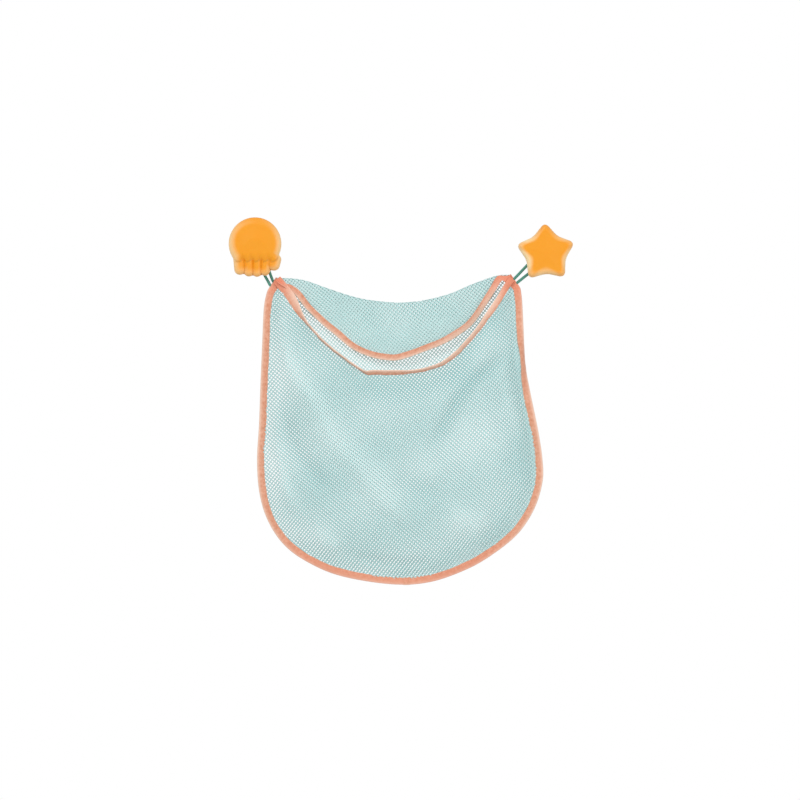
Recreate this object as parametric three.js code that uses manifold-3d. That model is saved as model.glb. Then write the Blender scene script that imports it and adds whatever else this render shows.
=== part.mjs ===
// Bath toy organizer: a mesh pouch for bath toys with taped edges. Two elastic loops at its top corners
// hang it from two suction cups, and each cup carries an orange cover: a jellyfish and a star.
// Millimetres. X runs to the right along the wall, Y runs into the wall, Z runs up.
// The origin lies on the wall, midway between the two suction cups.

import * as THREE from 'three';
import { mergeVertices } from 'three/addons/utils/BufferGeometryUtils.js';
import Module from 'manifold-3d';

// Clearances
const seatGap = 0.3; // between pieces that touch
const turningGap = 0.4; // round the neck that a cover turns on
const cutOverrun = 3; // how far a cutter runs past the face it cuts

// Wall layout
const hangerSpanLength = 360; // between the two suction cup centres
const hangerStep = 7.2; // the left cup sits this much higher than the right one
const pouchStandOff = 12.5; // wall to the middle of the pouch's edge tape
const pouchTopDrop = 29.3; // the pouch's higher corner below the origin

// Suction cup, heights measured from the wall
const cupRadius = 24;
const cupSeatWidth = 3.5; // flat ring that lies on the wall
const cupRimThickness = 0.9;
const cupHollowDepth = 2.6;
const cupShoulderRadius = 11;
const cupShoulderHeight = 5.2;
const cupHeight = 8.5; // wall to the start of the neck
const neckRadius = 4.5;
const neckFillet = 1.2;
const loopSpace = 6.5; // room for the cord round the neck
const headRadius = 7.5;
const headRimThickness = 2;
const headCrownRadius = 4.5;
const headCrownHeight = 1.7;
const headTipHeight = 0.4;

// Covers, shared by both
const coverDepth = 16;
const coverWall = 2;
const coverEdgeRound = 7; // how far the rounded front edge reaches down the side
const coverEdgeInsetShare = 0.17; // how far it draws the outline in
const coverCrown = 0.8; // rise of the front face above its rounded edge
const plateThickness = 2;

// Jellyfish cover, places measured from its stud
const domeRadius = 32.6;
const domeRise = 4.4;
const domeHemDrop = 15; // hem of the dome below the stud
const scallopDepth = 2.2;
const scallopCount = 5;
const tentacleDepth = 11.5;
const tentacleRound = 4.5;
const tentacleTopDrop = 8;
const tentacleTipDrop = 36.6; // tip of the longest tentacle below the stud
// Each tentacle: how far across and how wide as shares of the dome's radius, how far down as a share of
// the longest one, and its lean in radians
const tentacleShares = [
  { across: -0.6, width: 0.42, drop: 0.934, lean: 0.1 },
  { across: -0.24, width: 0.36, drop: 0.99, lean: 0.02 },
  { across: 0.08, width: 0.34, drop: 1, lean: -0.02 },
  { across: 0.4, width: 0.36, drop: 0.962, lean: -0.08 },
  { across: 0.75, width: 0.44, drop: 0.794, lean: -0.26 },
];

// Star cover
const starTipRadius = 38.4;
const starNotchRadius = 25.4;
const starTipRound = 8; // along each side from the sharp tip
const starNotchRound = 6;
const starTurn = 0.035; // radians
const starPoints = 5;

// Elastic loops
const cordDiameter = 2.6;
const cordSides = 8;
const cordSteps = 44;
// Middle of each loop from one sewn end round the cup's neck to the other
const leftLoopRoute = [
  [-162.0, -12.5, -42.5], [-164.9, -12.4, -37.1], [-167.9, -12.3, -31.7], [-173.8, -12.2, -21.0],
  [-179.7, -12.0, -10.2], [-185.6, -11.8, 0.5], [-186.4, -11.8, 3.9], [-185.3, -11.8, 7.2],
  [-182.6, -11.8, 9.4], [-179.2, -11.8, 9.9], [-176.0, -11.8, 8.6], [-174.0, -11.8, 5.8],
  [-170.1, -12.0, -5.0], [-166.3, -12.2, -15.8], [-162.4, -12.3, -26.6], [-160.5, -12.4, -32.0],
  [-158.5, -12.5, -37.4],
];
const rightLoopRoute = [
  [141.4, -12.5, -34.9], [146.0, -12.4, -30.2], [150.3, -12.3, -25.6], [158.7, -12.2, -16.8],
  [167.0, -12.0, -8.0], [175.4, -11.8, 0.8], [178.3, -11.8, 2.6], [181.8, -11.8, 2.5],
  [184.7, -11.8, 0.7], [186.3, -11.8, -2.3], [186.0, -11.8, -5.8], [184.0, -11.8, -8.6],
  [174.4, -12.0, -16.3], [164.9, -12.2, -23.9], [155.3, -12.3, -31.6], [150.3, -12.4, -35.6],
  [145.1, -12.5, -39.8],
];

// Pouch
const pouchWidth = 355;
const pouchHeight = 385;
const sheetThickness = 0.6;
const tapeThickness = 0.6;
const edgeTapeWidth = 9;
const rimTapeWidth = 7.5;
const edgeTuck = 2; // the tape's fold to the edge of the mesh inside it
const edgeFlat = 3; // strip beside the edge tape where the panels still lie together
const bellyDepth = 34; // how far the front panel stands forward of its edge
const bellyReach = 120; // edge tape to the deepest part of the belly
const bellyTaperShare = 0.12; // how much shallower the belly is at the bottom
const foldRadius = 1.2; // where the back panel turns over into its flap
const flapRootLength = 5; // stretch of the fold that lies on the back panel
const flapLift = 7; // how far the flap's taped edge stands off the back panel
// Reach of the flap across the pouch, from the middle
const flapLeftShare = 0.39;
const flapRightShare = 0.345;

// Outer edge from the left tip down, round the bottom and up to the right tip: [width share, height share]
const outerEdgeShares = [
  [-0.435, 0.01], [-0.465, 0.053], [-0.477, 0.106], [-0.483, 0.223], [-0.489, 0.353], [-0.494, 0.482],
  [-0.501, 0.599], [-0.493, 0.703], [-0.465, 0.791], [-0.411, 0.868], [-0.332, 0.924], [-0.211, 0.972],
  [-0.034, 0.999], [0.099, 0.993], [0.225, 0.954], [0.321, 0.904], [0.411, 0.836], [0.468, 0.756],
  [0.496, 0.672], [0.497, 0.604], [0.482, 0.508], [0.456, 0.391], [0.435, 0.288], [0.43, 0.171],
  [0.425, 0.085], [0.419, 0.044], [0.385, 0],
];
// Fold along the top of the back panel, between the two tips
const foldShares = [
  [-0.344, 0.019], [-0.256, 0.046], [-0.169, 0.072], [-0.099, 0.085], [-0.003, 0.092], [0.079, 0.085],
  [0.141, 0.072], [0.186, 0.059], [0.251, 0.033], [0.332, 0.007],
];
// Middle of the flap's tape
const flapShares = [
  [-0.417, 0.027], [-0.366, 0.056], [-0.324, 0.103], [-0.27, 0.152], [-0.225, 0.186], [-0.163, 0.233],
  [-0.107, 0.256], [-0.056, 0.267], [-0.003, 0.267], [0.087, 0.238], [0.152, 0.214], [0.211, 0.181],
  [0.248, 0.152], [0.285, 0.103], [0.318, 0.056], [0.341, 0.02], [0.358, 0.004],
];
// Middle of the front panel's tape, between the two corners
const rimShares = [
  [-0.392, 0.069], [-0.338, 0.144], [-0.27, 0.215], [-0.192, 0.274], [-0.124, 0.315], [-0.09, 0.317],
  [-0.003, 0.317], [0.07, 0.311], [0.141, 0.29], [0.194, 0.256], [0.234, 0.217], [0.27, 0.178],
  [0.31, 0.126], [0.341, 0.085], [0.377, 0.03],
];
const rimLeftCornerShare = 0.08; // start of that tape along the left corner's slanted edge
const rimRightCornerShare = 0.25;

// Counts
const outerEdgeSteps = 60;
const lineSteps = 28;
const netColumns = 9; // openings across a panel
const netRows = 10;
const flapRows = 4;
const foldSteps = 4;
const latheSegments = 32;
const outlineSteps = 5;
const lowerCornerShare = 0.27; // where the pouch's side turns into its bottom, along its edge
const seamColumnShare = 0.032; // first column of a panel, still flat inside the tape
const seamRowShare = 0.034;
const netBarShare = 0.4; // bar beside an opening, of the step from one opening to the next

// Distances from the wall and thicknesses that follow from the sizes above
const coverBack = cupHeight + loopSpace;
const coverFront = coverBack + coverDepth;
const headBottom = coverBack + plateThickness + seatGap;
const panelOffset = (sheetThickness + seatGap) / 2;
const backSag = pouchStandOff - panelOffset - sheetThickness / 2 - seatGap; // back panel out to the wall
const edgeTapeDepth = 2 * (tapeThickness + sheetThickness) + 3 * seatGap;
const rimTapeDepth = 2 * (tapeThickness + seatGap) + sheetThickness;

// Colours
const orangePlastic = new THREE.MeshStandardMaterial({ color: '#f6a42e', roughness: 0.4, metalness: 0 });
const clearVinyl = new THREE.MeshStandardMaterial({ color: '#e4eef0', roughness: 0.15, metalness: 0 });
const tealElastic = new THREE.MeshStandardMaterial({ color: '#4a9d98', roughness: 0.7, metalness: 0 });
const coralTape = new THREE.MeshStandardMaterial({ color: '#ea9270', roughness: 0.85, metalness: 0 });
const aquaMesh = new THREE.MeshStandardMaterial({ color: '#b2d6d3', roughness: 0.8, metalness: 0 });

const wasm = await Module();
wasm.setup();

/** Turns a closed geometry into a solid that can be joined and cut. */
function solidOf(geometry) {
  const bare = geometry.clone();
  bare.deleteAttribute('normal');
  bare.deleteAttribute('uv');
  const merged = mergeVertices(bare);
  return new wasm.Manifold(
    new wasm.Mesh({
      numProp: 3,
      vertProperties: Float32Array.from(merged.attributes.position.array),
      triVerts: Uint32Array.from(merged.index.array),
    }),
  );
}

/** Turns a joined or cut solid back into a geometry. */
function geometryOf(solid) {
  const mesh = solid.getMesh();
  const geometry = new THREE.BufferGeometry();
  geometry.setAttribute('position', new THREE.BufferAttribute(Float32Array.from(mesh.vertProperties), 3));
  geometry.setIndex(new THREE.BufferAttribute(Uint32Array.from(mesh.triVerts), 1));
  geometry.computeVertexNormals();
  return geometry;
}

/** Volume inside a list of triangles, negative where they face inwards. */
function signedVolume(points, triangles) {
  let total = 0;
  for (const [a, b, c] of triangles) {
    total += points[a].dot(points[b].clone().cross(points[c])) / 6;
  }
  return total;
}

/** Closed geometry from points and triangles, faced outwards. */
function closedGeometry(points, triangles) {
  const inward = signedVolume(points, triangles) < 0;
  const faced = inward ? triangles.map(([a, b, c]) => [a, c, b]) : triangles;
  const geometry = new THREE.BufferGeometry().setFromPoints(points);
  geometry.setIndex(faced.flat());
  geometry.computeVertexNormals();
  return geometry;
}

/** One outline repeated at several depths: each ring is [scale, depth], and both ends close on a point. */
function ringStack(outline, rings) {
  const count = outline.length;
  const points = [];
  for (const [scale, depth] of rings) {
    points.push(...outline.map((p) => new THREE.Vector3(p.x * scale, -depth, p.y * scale)));
  }
  const first = points.length;
  const last = first + 1;
  points.push(new THREE.Vector3(0, -rings[0][1], 0));
  points.push(new THREE.Vector3(0, -rings.at(-1)[1], 0));
  const lastRing = (rings.length - 1) * count;
  const triangles = [];
  for (let k = 0; k < count; k += 1) {
    const next = (k + 1) % count;
    triangles.push([first, next, k]);
    triangles.push([last, lastRing + k, lastRing + next]);
    for (let ring = 0; ring < lastRing; ring += count) {
      triangles.push([ring + k, ring + next, ring + count + k]);
      triangles.push([ring + next, ring + count + next, ring + count + k]);
    }
  }
  return closedGeometry(points, triangles);
}

/** Rings of a pillow-like block from its flat back to its crowned front, drawn in round the front edge. */
function pillowRings(back, front, edgeRound, insetShare, crown) {
  const rings = [[1, back]];
  for (let step = 0; step <= outlineSteps; step += 1) {
    const angle = (step / outlineSteps) * (Math.PI / 2);
    const scale = 1 - insetShare * (1 - Math.cos(angle));
    rings.push([scale, front - crown - edgeRound * (1 - Math.sin(angle))]);
  }
  rings.push([(1 - insetShare) / 2, front]);
  return rings;
}

/** Polygon with each corner rounded, as a list of points. */
function roundedPolygon(corners, rounds) {
  const shape = new THREE.Shape();
  corners.forEach((corner, index) => {
    const before = corners.at(index - 1);
    const after = corners[(index + 1) % corners.length];
    const start = corner.clone().add(before.clone().sub(corner).setLength(rounds[index]));
    const end = corner.clone().add(after.clone().sub(corner).setLength(rounds[index]));
    if (index === 0) {
      shape.moveTo(start.x, start.y);
    } else {
      shape.lineTo(start.x, start.y);
    }
    shape.quadraticCurveTo(corner.x, corner.y, end.x, end.y);
  });
  return shape.getPoints(outlineSteps);
}

/** Moves each point of an open line sideways, to the left of its direction where the distance is positive. */
function shiftLine(line, distance) {
  return line.map((point, index) => point.clone().addScaledVector(sideways(line, index), distance));
}

/** Left-hand mitre direction at one point of an open line, long enough to keep the shifted line parallel. */
function sideways(line, index) {
  const normals = [];
  if (index > 0) {
    const back = line[index].clone().sub(line[index - 1]).normalize();
    normals.push(new THREE.Vector2(-back.y, back.x));
  }
  if (index < line.length - 1) {
    const ahead = line[index + 1].clone().sub(line[index]).normalize();
    normals.push(new THREE.Vector2(-ahead.y, ahead.x));
  }
  const sum = normals.reduce((total, normal) => total.add(normal), new THREE.Vector2());
  return normals.length === 1 ? sum : sum.multiplyScalar(2 / sum.lengthSq());
}

/** Point at a share of an open line's length. */
function alongLine(line, share) {
  const lengths = [0];
  for (let k = 1; k < line.length; k += 1) {
    lengths.push(lengths[k - 1] + line[k].distanceTo(line[k - 1]));
  }
  const target = share * lengths.at(-1);
  const upper = Math.max(1, lengths.findIndex((length) => length >= target));
  const span = lengths[upper] - lengths[upper - 1];
  return line[upper - 1].clone().lerp(line[upper], (target - lengths[upper - 1]) / span);
}

/** Height of a line that runs from left to right, at one place across. */
function heightAt(line, across) {
  const upper = Math.max(1, line.findIndex((point) => point.x >= across));
  const before = line[upper - 1];
  const after = line[upper];
  return THREE.MathUtils.lerp(before.y, after.y, (across - before.x) / (after.x - before.x));
}

/** Turns a table of pouch shares into points. */
function pouchPoints(shares) {
  return shares.map(([across, drop]) => new THREE.Vector2(across * pouchWidth, -drop * pouchHeight));
}

/** The pouch's lines in its own plane, X across and Y up, with the top of its higher corner at zero. */
function pouchLines() {
  const corners = pouchPoints(outerEdgeShares);
  const sides = new THREE.SplineCurve(corners.slice(1, -1)).getSpacedPoints(outerEdgeSteps);
  const outer = [corners[0], ...sides, corners.at(-1)];
  const meshEdge = shiftLine(outer, edgeTuck);
  const leftCorner = meshEdge[0].clone().lerp(meshEdge[1], rimLeftCornerShare);
  const rightCorner = meshEdge.at(-1).clone().lerp(meshEdge.at(-2), rimRightCornerShare);
  const smooth = (points) => new THREE.SplineCurve(points).getSpacedPoints(lineSteps);
  return {
    outer,
    meshEdge,
    fold: smooth([meshEdge[0], ...pouchPoints(foldShares), meshEdge.at(-1)]),
    flap: smooth(pouchPoints(flapShares)),
    rim: smooth([leftCorner, ...pouchPoints(rimShares), rightCorner]),
  };
}

const lines = pouchLines();

/** Distance from a point of the pouch's plane to its outer edge. */
function edgeDistance(point) {
  let least = Infinity;
  for (let k = 1; k < lines.outer.length; k += 1) {
    const start = lines.outer[k - 1];
    const along = lines.outer[k].clone().sub(start);
    const share = THREE.MathUtils.clamp(point.clone().sub(start).dot(along) / along.lengthSq(), 0, 1);
    least = Math.min(least, point.distanceTo(start.clone().addScaledVector(along, share)));
  }
  return least;
}

/** How full the belly is at a point, from 0 in the edge tape to 1 in the middle. */
function fullness(point) {
  const inward = THREE.MathUtils.clamp((edgeDistance(point) - edgeTapeWidth - edgeFlat) / bellyReach, 0, 1);
  const taper = 1 + (bellyTaperShare * point.y) / pouchHeight;
  return (1 - (1 - inward) ** 3) * taper;
}

/** Point on the middle of the front panel. */
function onFront(point) {
  return new THREE.Vector3(point.x, -panelOffset - bellyDepth * fullness(point), point.y);
}

/** Point on the middle of the back panel. */
function onBack(point) {
  return new THREE.Vector3(point.x, panelOffset + backSag * fullness(point), point.y);
}

/** Unit normals of a grid of points, from the differences between neighbours. */
function gridNormals(grid) {
  return grid.map((row, i) =>
    row.map((_, j) => {
      const down = grid[Math.min(i + 1, grid.length - 1)][j].clone().sub(grid[Math.max(i - 1, 0)][j]);
      const across = row[Math.min(j + 1, row.length - 1)].clone().sub(row[Math.max(j - 1, 0)]);
      return across.cross(down).normalize();
    }),
  );
}

/** Moves the border of a grid outwards by a distance. */
function widened(grid, distance) {
  if (distance === 0) {
    return grid;
  }
  const stretch = (from, to) => to.clone().add(to.clone().sub(from).setLength(distance));
  const rows = grid.map((row) => {
    const inner = row.slice(1, -1);
    return [stretch(row[1], row[0]), ...inner, stretch(row.at(-2), row.at(-1))];
  });
  const top = rows[0].map((point, j) => stretch(rows[1][j], point));
  const bottom = rows.at(-1).map((point, j) => stretch(rows.at(-2)[j], point));
  return [top, ...rows.slice(1, -1), bottom];
}

/**
 * Closed solid of a sheet: a grid of points on its middle, thickened by half to each side. A net is open
 * at every second cell both ways.
 */
function sheetSolid(middle, { spare = 0, isNet = false } = {}) {
  const grid = widened(middle, spare);
  const half = sheetThickness / 2 + spare;
  const normals = gridNormals(grid);
  const rowCount = grid.length;
  const columnCount = grid[0].length;
  const points = [];
  for (const side of [half, -half]) {
    grid.forEach((row, i) => {
      points.push(...row.map((point, j) => point.clone().addScaledVector(normals[i][j], side)));
    });
  }
  const other = rowCount * columnCount;
  const at = (i, j) => i * columnCount + j;
  const triangles = [];
  const border = [];
  for (let i = 0; i < rowCount - 1; i += 1) {
    for (let j = 0; j < columnCount - 1; j += 1) {
      const [a, b, c, d] = [at(i, j), at(i, j + 1), at(i + 1, j + 1), at(i + 1, j)];
      if (isNet && i % 2 === 1 && j % 2 === 1) {
        border.push([b, a], [c, b], [d, c], [a, d]);
      } else {
        triangles.push([a, d, c], [a, c, b]);
        triangles.push([other + a, other + c, other + d], [other + a, other + b, other + c]);
      }
    }
  }
  for (let j = 0; j < columnCount - 1; j += 1) {
    border.push([at(0, j), at(0, j + 1)]);
    border.push([at(rowCount - 1, j + 1), at(rowCount - 1, j)]);
  }
  for (let i = 0; i < rowCount - 1; i += 1) {
    border.push([at(i + 1, 0), at(i, 0)]);
    border.push([at(i, columnCount - 1), at(i + 1, columnCount - 1)]);
  }
  for (const [a, b] of border) {
    triangles.push([a, b, other + b], [a, other + b, other + a]);
  }
  return solidOf(closedGeometry(points, triangles));
}

/** A flat section carried along stations: each has a place and the section's two directions. */
function sweptSolid(stations, section) {
  const count = section.length;
  const points = stations.flatMap(({ place, inward, normal }) =>
    section.map(([b, n]) => place.clone().addScaledVector(inward, b).addScaledVector(normal, n)),
  );
  const triangles = [];
  for (let i = 0; i < stations.length - 1; i += 1) {
    for (let k = 0; k < count; k += 1) {
      const here = i * count + k;
      const next = i * count + ((k + 1) % count);
      triangles.push([here, next, next + count], [here, next + count, here + count]);
    }
  }
  const last = (stations.length - 1) * count;
  for (let k = 1; k < count - 1; k += 1) {
    triangles.push([0, k + 1, k], [last, last + k, last + k + 1]);
  }
  return solidOf(closedGeometry(points, triangles));
}

/** Section of a folded tape: round at its fold, square at its open edges. */
function tapeSection(width, depth) {
  const radius = depth / 2;
  const section = [[width, radius], [width, -radius]];
  for (let step = 0; step <= outlineSteps; step += 1) {
    const angle = (step / outlineSteps) * Math.PI;
    section.push([radius - radius * Math.sin(angle), -radius * Math.cos(angle)]);
  }
  return section;
}

/** Grid over a panel from its four border lines, each point blended between opposite borders. */
function panelGrid(top, onPanel) {
  const edge = lines.meshEdge;
  const turn = Math.round(lowerCornerShare * edge.length);
  const left = [top[0], ...edge.slice(1, turn + 1)];
  const right = [top.at(-1), ...edge.slice(-turn - 1, -1).reverse()];
  const bottom = edge.slice(turn, edge.length - turn);
  const spread = (openings, seam) => {
    const step = (1 - 2 * seam) / (openings - netBarShare);
    const starts = Array.from({ length: openings }, (_, k) => seam + k * step);
    return [0, ...starts.flatMap((start) => [start, start + (1 - netBarShare) * step]), 1];
  };
  const grid = [];
  for (const v of spread(netRows, seamRowShare)) {
    const row = [];
    for (const u of spread(netColumns, seamColumnShare)) {
      const point = alongLine(top, u).multiplyScalar(1 - v);
      point.addScaledVector(alongLine(bottom, u), v);
      point.addScaledVector(alongLine(left, v), 1 - u);
      point.addScaledVector(alongLine(right, v), u);
      point.addScaledVector(top[0], -(1 - u) * (1 - v));
      point.addScaledVector(top.at(-1), -u * (1 - v));
      point.addScaledVector(bottom[0], -(1 - u) * v);
      point.addScaledVector(bottom.at(-1), -u * v);
      row.push(onPanel(point));
    }
    grid.push(row);
  }
  return grid;
}

/** Grid over the flap: from its taped edge up, over the fold and a short way down the back panel. */
function flapGrid() {
  const lowerEdge = shiftLine(lines.flap, edgeTuck - rimTapeWidth / 2);
  const left = -flapLeftShare * pouchWidth;
  const right = flapRightShare * pouchWidth;
  const columns = [];
  for (let k = 0; k <= lineSteps; k += 1) {
    columns.push(THREE.MathUtils.lerp(left, right, k / lineSteps));
  }
  const grid = [];
  for (let i = 0; i < flapRows; i += 1) {
    const down = 1 - i / flapRows;
    grid.push(columns.map((x) => {
      const top = heightAt(lines.fold, x) - foldRadius;
      const height = THREE.MathUtils.lerp(top, heightAt(lowerEdge, x), down);
      const bow = Math.sin((Math.PI * (x - left)) / (right - left)) * down ** 2;
      const place = onBack(new THREE.Vector2(x, height));
      place.y -= 2 * foldRadius + flapLift * bow;
      return place;
    }));
  }
  for (let step = 0; step <= foldSteps; step += 1) {
    const angle = (step / foldSteps) * Math.PI;
    grid.push(columns.map((x) => {
      const base = heightAt(lines.fold, x) - foldRadius;
      const place = onBack(new THREE.Vector2(x, base));
      place.y -= foldRadius * (1 + Math.cos(angle));
      place.z = base + foldRadius * Math.sin(angle);
      return place;
    }));
  }
  grid.push(columns.map((x) => {
    const base = heightAt(lines.fold, x) - foldRadius;
    return onBack(new THREE.Vector2(x, base - flapRootLength));
  }));
  return grid;
}

/** Stations of a tape that wraps the first row of a sheet's grid. */
function stationsOnRow(grid) {
  const normals = gridNormals(grid);
  return grid[0].map((place, j) => {
    const ahead = grid[0][Math.min(j + 1, grid[0].length - 1)];
    const behind = grid[0][Math.max(j - 1, 0)];
    const tangent = ahead.clone().sub(behind).normalize();
    const normal = normals[0][j];
    const inward = normal.clone().cross(tangent).normalize();
    if (inward.dot(grid[1][j].clone().sub(place)) < 0) {
      inward.negate();
    }
    return { place: place.clone().addScaledVector(inward, -edgeTuck), inward, normal };
  });
}

/** Stations round the pouch's outer edge, in its plane, run on past both ends by a distance. */
function outerStations(spare) {
  const first = lines.outer[0].clone().sub(lines.outer[1]).setLength(spare).add(lines.outer[0]);
  const last = lines.outer.at(-1).clone().sub(lines.outer.at(-2)).setLength(spare).add(lines.outer.at(-1));
  const line = spare === 0 ? lines.outer : [first, ...lines.outer.slice(1, -1), last];
  return line.map((point, index) => {
    const inward = sideways(line, index);
    return {
      place: new THREE.Vector3(point.x, 0, point.y),
      inward: new THREE.Vector3(inward.x, 0, inward.y),
      normal: new THREE.Vector3(0, 1, 0),
    };
  });
}

/** The pouch's five sewn pieces, in its own plane. */
function pouchPieces() {
  const rimEdge = shiftLine(lines.rim, rimTapeWidth / 2 - edgeTuck);
  const frontGrid = panelGrid(rimEdge, onFront);
  const backGrid = panelGrid(shiftLine(lines.fold, -foldRadius), onBack);
  const foldedGrid = flapGrid();
  const front = sheetSolid(frontGrid, { isNet: true });
  const frontRoom = sheetSolid(frontGrid, { spare: seatGap });
  const back = sheetSolid(backGrid, { isNet: true }).add(sheetSolid(foldedGrid));
  const backRoom = sheetSolid(backGrid, { spare: seatGap });
  const flapRoom = sheetSolid(foldedGrid, { spare: seatGap });

  const edgeStations = outerStations(0);
  const edgeTape = sweptSolid(edgeStations, tapeSection(edgeTapeWidth, edgeTapeDepth));
  const halfSlot = edgeTapeDepth / 2 - tapeThickness;
  const slotStart = edgeTuck - seatGap;
  const slotEnd = edgeTapeWidth + cutOverrun;
  const slotFront = [[slotStart, -halfSlot], [slotStart, halfSlot]];
  const slotSection = [[slotEnd, halfSlot], [slotEnd, -halfSlot], ...slotFront];
  const edgeSlot = sweptSolid(edgeStations, slotSection);
  const wideSection = tapeSection(edgeTapeWidth + 2 * seatGap, edgeTapeDepth + 2 * seatGap);
  const edgeRoom = sweptSolid(outerStations(seatGap), wideSection.map(([b, n]) => [b - seatGap, n]));

  const rimSection = tapeSection(rimTapeWidth, rimTapeDepth);
  const rimTape = sweptSolid(stationsOnRow(frontGrid), rimSection);
  const flapTape = sweptSolid(stationsOnRow(foldedGrid), rimSection);
  return {
    front_panel: [front, aquaMesh],
    back_panel: [back, aquaMesh],
    perimeter_binding: [edgeTape.subtract(edgeSlot).subtract(frontRoom).subtract(backRoom), coralTape],
    front_rim_binding: [rimTape.subtract(frontRoom).subtract(backRoom).subtract(edgeRoom), coralTape],
    flap_binding: [flapTape.subtract(flapRoom).subtract(edgeRoom), coralTape],
  };
}

/** Suction cup with a neck and a mushroom head, turned about the Y axis. */
function suctionCup() {
  const profile = [
    [0, cupHollowDepth],
    [cupRadius - cupSeatWidth, 0],
    [cupRadius, 0],
    [cupRadius, cupRimThickness],
    [cupShoulderRadius, cupShoulderHeight],
    [neckRadius + neckFillet, cupHeight - neckFillet],
    [neckRadius, cupHeight],
    [neckRadius, headBottom],
    [headRadius, headBottom],
    [headRadius, headBottom + headRimThickness],
    [headCrownRadius, headBottom + headRimThickness + headCrownHeight],
    [0, headBottom + headRimThickness + headCrownHeight + headTipHeight],
  ];
  const outward = profile.reverse().map(([r, depth]) => new THREE.Vector2(r, -depth));
  return new THREE.LatheGeometry(outward, latheSegments);
}

/** Outline of the star, round at its tips and notches. */
function starOutline() {
  const corners = [];
  const rounds = [];
  for (let k = 0; k < 2 * starPoints; k += 1) {
    const angle = Math.PI / 2 + starTurn + (k * Math.PI) / starPoints;
    const radius = k % 2 === 0 ? starTipRadius : starNotchRadius;
    corners.push(new THREE.Vector2(radius * Math.cos(angle), radius * Math.sin(angle)));
    rounds.push(k % 2 === 0 ? starTipRound : starNotchRound);
  }
  return roundedPolygon(corners, rounds);
}

/** Outline of the jellyfish's dome: a large arc closed by a scalloped hem. */
function domeOutline() {
  const start = -Math.asin((domeHemDrop + domeRise) / domeRadius);
  const shape = new THREE.Shape();
  shape.absarc(0, domeRise, domeRadius, start, Math.PI - start, false);
  const halfHem = domeRadius * Math.cos(start);
  const pitch = (2 * halfHem) / scallopCount;
  for (let k = 0; k < scallopCount; k += 1) {
    const left = k * pitch - halfHem;
    shape.quadraticCurveTo(left + pitch / 2, -domeHemDrop - 2 * scallopDepth, left + pitch, -domeHemDrop);
  }
  const points = shape.getPoints(2 * outlineSteps);
  points.pop();
  return points;
}

/** One tentacle: a rounded finger that hangs below the dome. */
function tentacleSolid({ across, width, drop, lean }) {
  const radius = (width * domeRadius) / 2;
  const halfLength = (drop * tentacleTipDrop - tentacleTopDrop) / 2 - radius;
  const shape = new THREE.Shape();
  shape.absarc(0, halfLength, radius, 0, Math.PI, false);
  shape.absarc(0, -halfLength, radius, Math.PI, 2 * Math.PI, false);
  const outline = shape.getPoints(outlineSteps);
  const roundShare = tentacleRound / radius / 2;
  const rings = pillowRings(coverBack, coverBack + tentacleDepth, tentacleRound, roundShare, coverCrown);
  const finger = ringStack(outline, rings);
  finger.rotateY(lean);
  finger.translate(across * domeRadius, 0, -tentacleTopDrop - radius - halfLength);
  return solidOf(finger);
}

/** Solid of a cover's outline, from its back face to its crowned front. */
function coverBlock(outline) {
  const rings = pillowRings(coverBack, coverFront, coverEdgeRound, coverEdgeInsetShare, coverCrown);
  return solidOf(ringStack(outline, rings));
}

/** Room inside a cover, open at its back. */
function coverHollow(outline) {
  const front = coverFront - coverWall;
  const rings = pillowRings(coverBack - cutOverrun, front, coverEdgeRound, coverEdgeInsetShare, coverCrown);
  return solidOf(ringStack(outline, rings));
}

/** Closed outline, counter-clockwise, moved inwards by a distance. */
function drawnIn(outline, distance) {
  const wrapped = [outline.at(-1), ...outline, outline[0]];
  return shiftLine(wrapped, distance).slice(1, -1);
}

/** Plate that closes a cover's back and holds it on the neck. */
function backPlate(outline) {
  const shape = new THREE.Shape(outline);
  shape.holes.push(new THREE.Path().absarc(0, 0, neckRadius + turningGap, 0, 2 * Math.PI, true));
  const options = { depth: plateThickness, bevelEnabled: false, curveSegments: latheSegments };
  const plate = new THREE.ExtrudeGeometry(shape, options);
  plate.rotateX(Math.PI / 2);
  plate.translate(0, -coverBack, 0);
  return plate;
}

/** Elastic cord along its route. */
function elasticLoop(route) {
  const radius = cordDiameter / 2;
  const section = new THREE.Shape();
  for (let k = 0; k < cordSides; k += 1) {
    const angle = (2 * Math.PI * k) / cordSides;
    const [x, y] = [radius * Math.cos(angle), radius * Math.sin(angle)];
    if (k === 0) {
      section.moveTo(x, y);
    } else {
      section.lineTo(x, y);
    }
  }
  const path = new THREE.CatmullRomCurve3(route.map(([x, y, z]) => new THREE.Vector3(x, y, z)));
  return new THREE.ExtrudeGeometry(section, { extrudePath: path, steps: cordSteps, bevelEnabled: false });
}

/** Named mesh. */
function piece(name, geometry, material) {
  const mesh = new THREE.Mesh(geometry, material);
  mesh.name = name;
  return mesh;
}

/** One hanger: the cup on the wall, the plate round its neck and the cover over its head. */
function hanger(name, outline, block) {
  const shell = block.subtract(coverHollow(drawnIn(outline, coverWall)));
  const group = new THREE.Group();
  group.add(piece(`${name}_suction_cup`, suctionCup(), clearVinyl));
  group.add(piece(`${name}_back_plate`, backPlate(drawnIn(outline, coverWall + seatGap)), orangePlastic));
  group.add(piece(`${name}_cover`, geometryOf(shell), orangePlastic));
  return group;
}

/** The jellyfish's outside: dome and tentacles in one. */
function jellyfishBlock(dome) {
  return tentacleShares.map(tentacleSolid).reduce((joined, finger) => joined.add(finger), coverBlock(dome));
}

const dome = domeOutline();
const jellyfish = hanger('jellyfish', dome, jellyfishBlock(dome));
jellyfish.position.set(-hangerSpanLength / 2, 0, hangerStep / 2);

const starShape = starOutline();
const star = hanger('star', starShape, coverBlock(starShape));
star.position.set(hangerSpanLength / 2, 0, -hangerStep / 2);

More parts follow.
